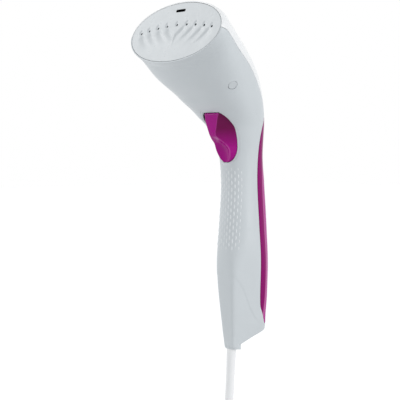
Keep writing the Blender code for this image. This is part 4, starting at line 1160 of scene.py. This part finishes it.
def make_release_pad(looks):
    """The thin pad under the tank's release, on the sole."""
    rings = []
    for inset, level in ((0.5, 0.0), (0.15, -0.15), (0.0, -0.5), (0.0, -2.0)):
        half_x, half_y = PAD_HALF[0] - inset, PAD_HALF[1] - inset
        ring = []
        for k in range(48):
            angle = 2 * math.pi * k / 48
            cos_a, sin_a = math.cos(angle), math.sin(angle)
            square = (abs(cos_a) ** 6 + abs(sin_a) ** 6) ** (-1 / 6)
            ring.append(Vector((half_x * square * cos_a, half_y * square * sin_a, -PAD_PROUD - level)) * MM)
        rings.append(ring)
    bm = bmesh.new()
    closed_loft(bm, rings)
    outward(bm)
    pad = as_object("release_pad", bm)
    pad.location = (0, PAD_Y, sole_height(PAD_Y))
    pad.rotation_euler = (math.atan(SOLE_SLOPE), 0, 0)
    dress(pad, looks["inner_plastic"], "release")


# ---------------------------------------------------------------- the grip's dots


def place_at_height(height):
    """The place along the handle at a height in millimetres."""
    low, high = 0.05, 0.75
    for _ in range(30):
        middle = (low + high) / 2
        if section(middle)[1] < height:
            low = middle
        else:
            high = middle
    return low


def add_dot(bm, height, arc, size):
    """Adds one raised lens to the grip, a distance round from the middle of the front."""
    rings = []
    for share in (1.0, 0.86, 0.62, 0.32, 0.0):
        rise = DOT_HEIGHT * size * (1 - share**2) - 0.12
        ring = []
        for k in range(16):
            angle = 2 * math.pi * k / 16
            cos_a, sin_a = math.cos(angle), math.sin(angle)
            up = DOT_LENGTH / 2 * size * share * sin_a
            across = DOT_WIDTH / 2 * size * share * cos_a * (1 - 0.45 * sin_a**2)
            place = place_at_height(height + up)
            reach = section_radius(place, 0.0) / MM
            turn = (arc + across) / reach
            ring.append(skin_point(place, turn) + skin_normal(place, turn) * rise * MM)
        rings.append(ring)
    made = sheet_of(bm, rings[:-1], wrap=True)
    tip = bm.verts.new(rings[-1][0])
    for k in range(16):
        bm.faces.new((made[-1][k], made[-1][(k + 1) % 16], tip))


def make_dots(looks):
    """The grip's staggered columns of raised dots, smaller towards the ends and the sides."""
    bm = bmesh.new()
    middle = (DOT_TOP + DOT_BOTTOM) / 2
    reach = (DOT_TOP - DOT_BOTTOM) / 2
    for column in range(-DOT_SPAN, DOT_SPAN + 1):
        start = DOT_TOP - (DOT_PITCH / 2 if column % 2 else 0.0)
        count = int((start - DOT_BOTTOM) / DOT_PITCH) + 1
        for k in range(count):
            height = start - DOT_PITCH * k
            away = abs(height - middle) / reach
            fade = (1 - ease(0.8, 1.15, away)) * (1 - 0.4 * ease(0.55, 1.1, abs(column) / DOT_SPAN))
            if fade > 0.25:
                add_dot(bm, height, column * DOT_COLUMN, mix(0.45, 1.0, fade))
    bmesh.ops.recalc_face_normals(bm, faces=bm.faces)
    dots = as_object("grip_dots", bm)
    return dress(dots, looks["grip_dots"], "body", sharp=60.0)


# ---------------------------------------------------------------- the rear cover

def make_rear_cover(looks):
    """The white cover over the back and top of the head."""
    bottom = end_rows(TANK_TOP + 0.0006, -1)
    rim = end_rows(RIM, 1)[::-1]
    rows = bottom + [(p, 0.0) for p in body_rows(bottom[-1][0], rim[0][0], 1.8 * MM)[1:-1]] + rim
    sheet = []
    for place, row_inset in rows:
        limit = parting_angle(place, GAP / 2)
        radius = section_radius(place, limit)
        edge = [(limit + d / radius, rounding(d)) for d in EDGE_STEPS]
        inner = [(a, 0.0) for a in spread(edge[-1][0], 2 * math.pi - edge[-1][0], REAR_COLUMNS)[1:-1]]
        columns = edge + inner + [(2 * math.pi - a, inset) for a, inset in edge[::-1]]
        sheet.append([(skin_point(place, a), max(inset, row_inset, band_inset(place))) for a, inset in columns])
    bm = bmesh.new()
    bm.verts.layers.float.new("drop")
    dropped_sheet(bm, sheet)
    face_out(bm)
    cover = as_object("rear_housing", thicken(bm, WALL))
    dress(cover, looks["cover_plastic"], "body", sharp=50.0)
    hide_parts("rear_cover")
    return cover


# ---------------------------------------------------------------- the tank


TANK_FIRST = FOOT_TOP + 0.0012
TANK_LAST = TANK_TOP - 0.0006


def tank_side(place):
    """Half width of the tank's body, which passes inside the front shell's edges."""
    angles = (parting_angle(place, GAP / 2), math.radians(95.0), math.radians(90.0))
    return min(skin_point(place, angle, TANK_LIP).x for angle in angles)


def tank_ring(place, end_inset=0.0, wall=0.0):
    """One section of the tank: its curved back, its sides and its flat front, drawn in by a wall."""
    side = tank_side(place) - wall
    first = parting_angle(place, GAP / 2)
    columns = []
    if wall:
        low, high = first, math.pi
        for _ in range(30):
            middle = (low + high) / 2
            if skin_point(place, middle, wall).x > side:
                low = middle
            else:
                high = middle
        columns = [(a, wall) for a in spread(high, 2 * math.pi - high, 40)]
    else:
        radius = section_radius(place, first)
        steps = [TANK_ROUND * share for share in (0.0, 0.1, 0.3, 0.6, 1.0)]
        edge = [(first + d / radius, max(end_inset, rounding(d, TANK_ROUND))) for d in steps]
        inner = spread(edge[-1][0], 2 * math.pi - edge[-1][0], 60)[1:-1]
        columns = edge + [(a, end_inset) for a in inner] + [(2 * math.pi - a, i) for a, i in edge[::-1]]
    ring = [skin_point(place, a, inset) for a, inset in columns]
    forward, height, tilt = section(place)[:3]
    y_front = TANK_FRONT_Y + wall

    def level(y):
        return height * MM + math.tan(math.radians(tilt)) * (y + forward * MM)

    if not wall:
        near = skin_point(place, first, TANK_LIP)
        near.x = side
        ring.append(Vector((-near.x, near.y, near.z)))
        closing = near
    ring += [Vector((-side, y_front, level(y_front))), Vector((side, y_front, level(y_front)))]
    if not wall:
        ring.append(closing)
    return ring


def tank_solid(pitch=2.0 * MM):
    """The tank's outer body as a closed mesh."""
    scale = place_scale(0.4)
    steps = [TANK_ROUND * share for share in (0.0, 0.1, 0.3, 0.6, 1.0)]
    low = [(TANK_FIRST + d / scale, rounding(d, TANK_ROUND)) for d in steps]
    high = [(TANK_LAST - d / scale, rounding(d, TANK_ROUND)) for d in steps[::-1]]
    rows = low + [(p, 0.0) for p in body_rows(low[-1][0], high[0][0], pitch)[1:-1]] + high
    bm = bmesh.new()
    closed_loft(bm, [tank_ring(place, inset) for place, inset in rows])
    return bm


def tank_back():
    """Depth of the tank's back at the filler."""
    return skin_point(place_at_height(FILLER_Z / MM), math.pi).y


def door_prism(grow, drop, y_low, y_high):
    """The filler door's outline pushed along Y, as a closed mesh."""
    half = FILLER_HALF + grow
    top = FILLER_Z + FILLER_HALF + grow - drop
    corner = 1.2 * MM
    points = []
    for centre_x, first in ((half - corner, 0.0), (-half + corner, math.pi / 2)):
        for k in range(7):
            angle = first + math.pi / 2 * k / 6
            points.append((centre_x + corner * math.cos(angle), top - corner + corner * math.sin(angle)))
    for k in range(33):
        angle = math.pi * (1 + k / 32)
        points.append((half * math.cos(angle), FILLER_Z + half * math.sin(angle)))
    bm = bmesh.new()
    closed_loft(bm, [[Vector((x, y, z)) for x, z in points] for y in (y_low, y_high)])
    return bm


def make_tank(looks):
    """The clear magenta tank: a hollow body with its filler mouth, its outlet and its latch notch."""
    bm = tank_solid()
    outward(bm)
    tank = as_object("tank_shell", bm)
    space = bmesh.new()
    wall = 1.9 * MM
    places = body_rows(TANK_FIRST + 0.02, TANK_LAST - 0.012, 4.0 * MM)
    closed_loft(space, [tank_ring(place, wall=wall) for place in places])
    cut(tank, space)
    back = tank_back()
    cut(tank, door_prism(0.3 * MM, 0.0, back - 3.6 * MM, back + 4 * MM))
    holes = bmesh.new()
    add_rod(holes, (0, -3 * MM, -108 * MM), (0, 5 * MM, -108 * MM), 3.4 * MM)
    size = Matrix.Diagonal((9 * MM, 8.3 * MM, 7.4 * MM, 1.0))
    notch = Matrix.Translation((0, 6.35 * MM, -136.3 * MM)) @ size
    bmesh.ops.create_cube(holes, size=1.0, matrix=notch)
    cut(tank, holes)
    dress(tank, looks["tank_plastic"], "tank", sharp=35.0)
    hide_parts("water_tank")
    door_bm = door_prism(-0.1 * MM, DOOR_TOP_DROP, back - 3.2 * MM, back + 4 * MM)
    outward(door_bm)
    door = as_object("filler_door", door_bm)
    skin = tank_solid()
    outward(skin)
    tool = as_object("door_skin", skin)
    step = door.modifiers.new("skin", "BOOLEAN")
    step.object = tool
    step.operation = "INTERSECT"
    step.solver = "EXACT"
    apply_modifiers(door)
    bpy.data.objects.remove(tool)
    dress(door, looks["trigger_plastic"], "door", sharp=35.0)
    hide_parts("tank_filler_door")


# ---------------------------------------------------------------- the trigger


TRIGGER_CURVES = [
    smooth_curve([row[0] for row in TRIGGER[::-1]], [row[k] for row in TRIGGER[::-1]]) for k in range(1, 6)
]


def trigger_reach(height, x):
    """How far forward the trigger's face is at a height and a distance from the middle, in millimetres."""
    half, edge, ridge, reach, middle = [curve(height) for curve in TRIGGER_CURVES]
    if x <= ridge:
        return mix(middle, reach, (x / ridge) ** 2)
    return mix(reach, edge, (x - ridge) / max(half - ridge, 0.1))


def trigger_face(height, share):
    """The point of the trigger's face at a height and a share of the half width."""
    half = TRIGGER_CURVES[0](height)
    x = half * abs(share)
    blend = 0.35
    around = [trigger_reach(height, min(max(x + step, 0.0), half)) for step in (-blend, 0.0, blend)]
    reach = sum(around) / 3 - rounding(half - x, TRIGGER_ROUND)
    return Vector((math.copysign(x, share), -reach, height)) * MM


def make_trigger(looks):
    """The faceted trigger with its finger scoop, soft at its edges."""
    shares = spread(0.0, 0.93, 26) + [0.95, 0.97, 0.985, 0.995, 1.0]
    columns = [-s for s in shares[:0:-1]] + shares
    ends = [0.0, 0.12, 0.35, 0.7, 1.1]
    heights = [TRIGGER_TOP - e for e in ends] + spread(TRIGGER_TOP - 1.6, TRIGGER_BOTTOM + 1.6, 70)
    heights += [TRIGGER_BOTTOM + e for e in ends[::-1]]
    rings = []
    for height in heights:
        to_end = min(TRIGGER_TOP - height, height - TRIGGER_BOTTOM)
        drop = rounding(to_end, TRIGGER_ROUND) * MM
        ring = [trigger_face(height, share) + Vector((0, drop, 0)) for share in columns]
        back = -(TRIGGER_BACK + TRIGGER_BACK_SLOPE * (height - TRIGGER_BOTTOM)) * MM
        half = TRIGGER_CURVES[0](height) * MM
        ring += [Vector((half, back, height * MM)), Vector((-half, back, height * MM))]
        rings.append(ring)
    bm = bmesh.new()
    closed_loft(bm, rings)
    outward(bm)
    trigger = as_object("finger_trigger", bm)
    well = bmesh.new()
    add_rod(well, (0, -25.6 * MM, 72 * MM), (0, -16.0 * MM, 72 * MM), 3.6 * MM)
    cut(trigger, well)
    dress(trigger, looks["trigger_plastic"], "trigger", sharp=32.0)
    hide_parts("trigger")


# ---------------------------------------------------------------- the steam plate


def hole_places():
    """The steam holes, as x and y on the plate, in millimetres."""
    places = []
    for s in STEAM_HOLES:
        y = HOLE_ARC_TOP - HOLE_ARC_DROP * (s / STEAM_HOLES[-1]) ** 2
        places += [(s, y)] if s == 0 else [(-s, y), (s, y)]
    return places


def plate_height(x, y):
    """Height of the plate's face: valleys that fan down from the holes, and a hollow round each hole."""
    height = 0.0
    for s, hole_y in hole_places():
        side = -1.0 if s < 0 else 1.0
        dx, dy = side * (x - s), y - hole_y
        run = -(dx * math.sin(GROOVE_TURN) + dy * math.cos(GROOVE_TURN))
        off = dx * math.cos(GROOVE_TURN) - dy * math.sin(GROOVE_TURN)
        if s and -6 < run < GROOVE_LENGTH and abs(off) < 14 and side * x > -0.5:
            off += 0.005 * run * run
            width = (1.6 if off < 0 else 4.4) + 0.06 * max(run, 0.0)
            fade = ease(0.0, 8.0, run) * (1 - ease(GROOVE_LENGTH * 0.3, GROOVE_LENGTH, run))
            height -= GROOVE_DEPTH * fade * math.exp(-((off / width) ** 2)) * ease(-0.5, 2.5, side * x)
        hollow = math.hypot(dx - (0.5 if s else 0.0), (dy - 1.1) * 0.85)
        height -= 0.55 * (1 - ease(1.6, 3.1, hollow))
    return height


def plate_matrix():
    """The steam plate's frame: x across, y up its face and z out of it."""
    return Matrix.Translation(PLATE_CENTRE) @ Matrix.Rotation(PLATE_TURN, 4, "X")


def slot_ring(radius, z):
    """The slot's round-ended outline at a height above the plate."""
    ring = []
    for side in (1, -1):
        for k in range(13):
            angle = math.pi * (k / 12 - 0.5)
            x = side * (SLOT_HALF + radius * math.cos(angle))
            ring.append(Vector((x * MM, (SLOT_Y + side * radius * math.sin(angle)) * MM, z)))
    return ring


def make_plate(looks):
    """The oval steam plate with its valleys, holes and slot, and painted shade inside the holes and the slot.
    """
    half_x, half_y = (PLATE_HALF_X + PLATE_GROW) / MM, (PLATE_HALF_Y + PLATE_GROW) / MM
    edge_steps = [1 - step for step in (0.0, 0.0008, 0.0025, 0.006, 0.012, 0.02)]
    across = [-s for s in edge_steps] + spread(-0.97, 0.97, 190) + edge_steps[::-1]
    rows = []
    for v in across[:6] + spread(-0.97, 0.97, 96) + across[-6:]:
        row = []
        for u in across:
            x = half_x * u * math.sqrt(1 - v * v / 2)
            y = half_y * v * math.sqrt(1 - u * u / 2)
            from_edge = (1 - min(1.0, math.hypot(x / half_x, y / half_y))) * half_y
            row.append((Vector((x, y, 0.0)) * MM, (rounding(from_edge, 0.35) - plate_height(x, y)) * MM))
        rows.append(row)
    bm = bmesh.new()
    bm.verts.layers.float.new("drop")
    dropped_sheet(bm, rows)
    plate = as_object("steam_face_plate", thicken(bm, PLATE_THICK))
    holes = bmesh.new()
    # Dark rods under the holes and the slot: painted shade inside them
    shades = bmesh.new()
    for x, y in hole_places():
        add_rod(holes, (x * MM, y * MM, -6 * MM), (x * MM, y * MM, 3 * MM), HOLE_RADIUS * MM, 24)
        low, high = (x * MM, y * MM, -2.9 * MM), (x * MM, y * MM, SHADE_TOP)
        add_rod(shades, low, high, (HOLE_RADIUS - 0.02) * MM, 24)
    closed_loft(holes, [slot_ring(SLOT_RADIUS, z) for z in (-5 * MM, 3 * MM)])
    closed_loft(shades, [slot_ring(SLOT_RADIUS - 0.02, z) for z in (-2.9 * MM, -0.25 * MM)])
    cut(plate, holes)
    plate.matrix_world = plate_matrix()
    dress(plate, looks["plate_enamel"], "body", sharp=50.0)
    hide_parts("steam_plate")
    outward(shades)
    dark = as_object("painted_hole_shade", shades)
    dark.matrix_world = plate_matrix()
    dress(dark, looks["dark"], "body")


def make_seal(looks):
    """The thin seal between the plate and the head's rim."""
    rings = []
    for grow, level in ((0.55, -0.7), (0.85, -0.7), (0.85, -3.0), (0.55, -3.0)):
        half_x, half_y = PLATE_HALF_X + grow * MM, PLATE_HALF_Y + grow * MM
        angles = [2 * math.pi * k / 192 for k in range(192)]
        rings.append([Vector((half_x * math.cos(a), half_y * math.sin(a), level * MM)) for a in angles])
    bm = bmesh.new()
    close_loop(bm, closed_loft(bm, rings, ends=False))
    outward(bm)
    seal = as_object("plate_gasket", bm)
    seal.matrix_world = plate_matrix()
    dress(seal, looks["seal_rubber"], "body")
    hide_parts("plate_seal")


def make_lens(looks):
    """The indicator's lens, slightly domed and with a soft edge."""
    at, out = indicator_place()
    profile = [(0.0, -2.6), (4.9, -2.6), (4.9, -0.45), (4.82, -0.25)]
    profile += [(4.6, -0.12), (3.4, -0.04), (1.6, 0.0), (0.0, 0.0)]
    bm = bmesh.new()
    closed_loft(bm, turned_rings([(r * MM, z * MM) for r, z in profile], 64))
    outward(bm)
    lens = as_object("indicator_window", bm)
    lens.location = at - out * 0.05 * MM
    lens.rotation_mode = "QUATERNION"
    lens.rotation_quaternion = out.to_track_quat("Z", "Y")
    dress(lens, looks["lens_plastic"], "body")
    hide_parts("indicator_lens")


# ---------------------------------------------------------------- the whole steamer


def make_all():
    """Builds the studio and the steamer."""
    bpy.context.scene.view_settings.view_transform = "Standard"
    make_camera()
    make_world()
    make_lamp("key", (-1.7, -0.9, 0.9), (0, 0, 0.05), (1.0, 1.2), 8.5)
    make_lamp("side", (1.7, 0.5, 0.5), (0, 0, 0.0), (0.8, 1.6), 9.0)
    make_floor()
    looks = make_looks()
    dress_frame(looks)
    make_cord(looks)
    make_front_shell(looks)
    make_boss(looks)
    make_release_pad(looks)
    make_dots(looks)
    make_rear_cover(looks)
    make_tank(looks)
    make_trigger(looks)
    make_plate(looks)
    make_seal(looks)
    make_lens(looks)


make_all()
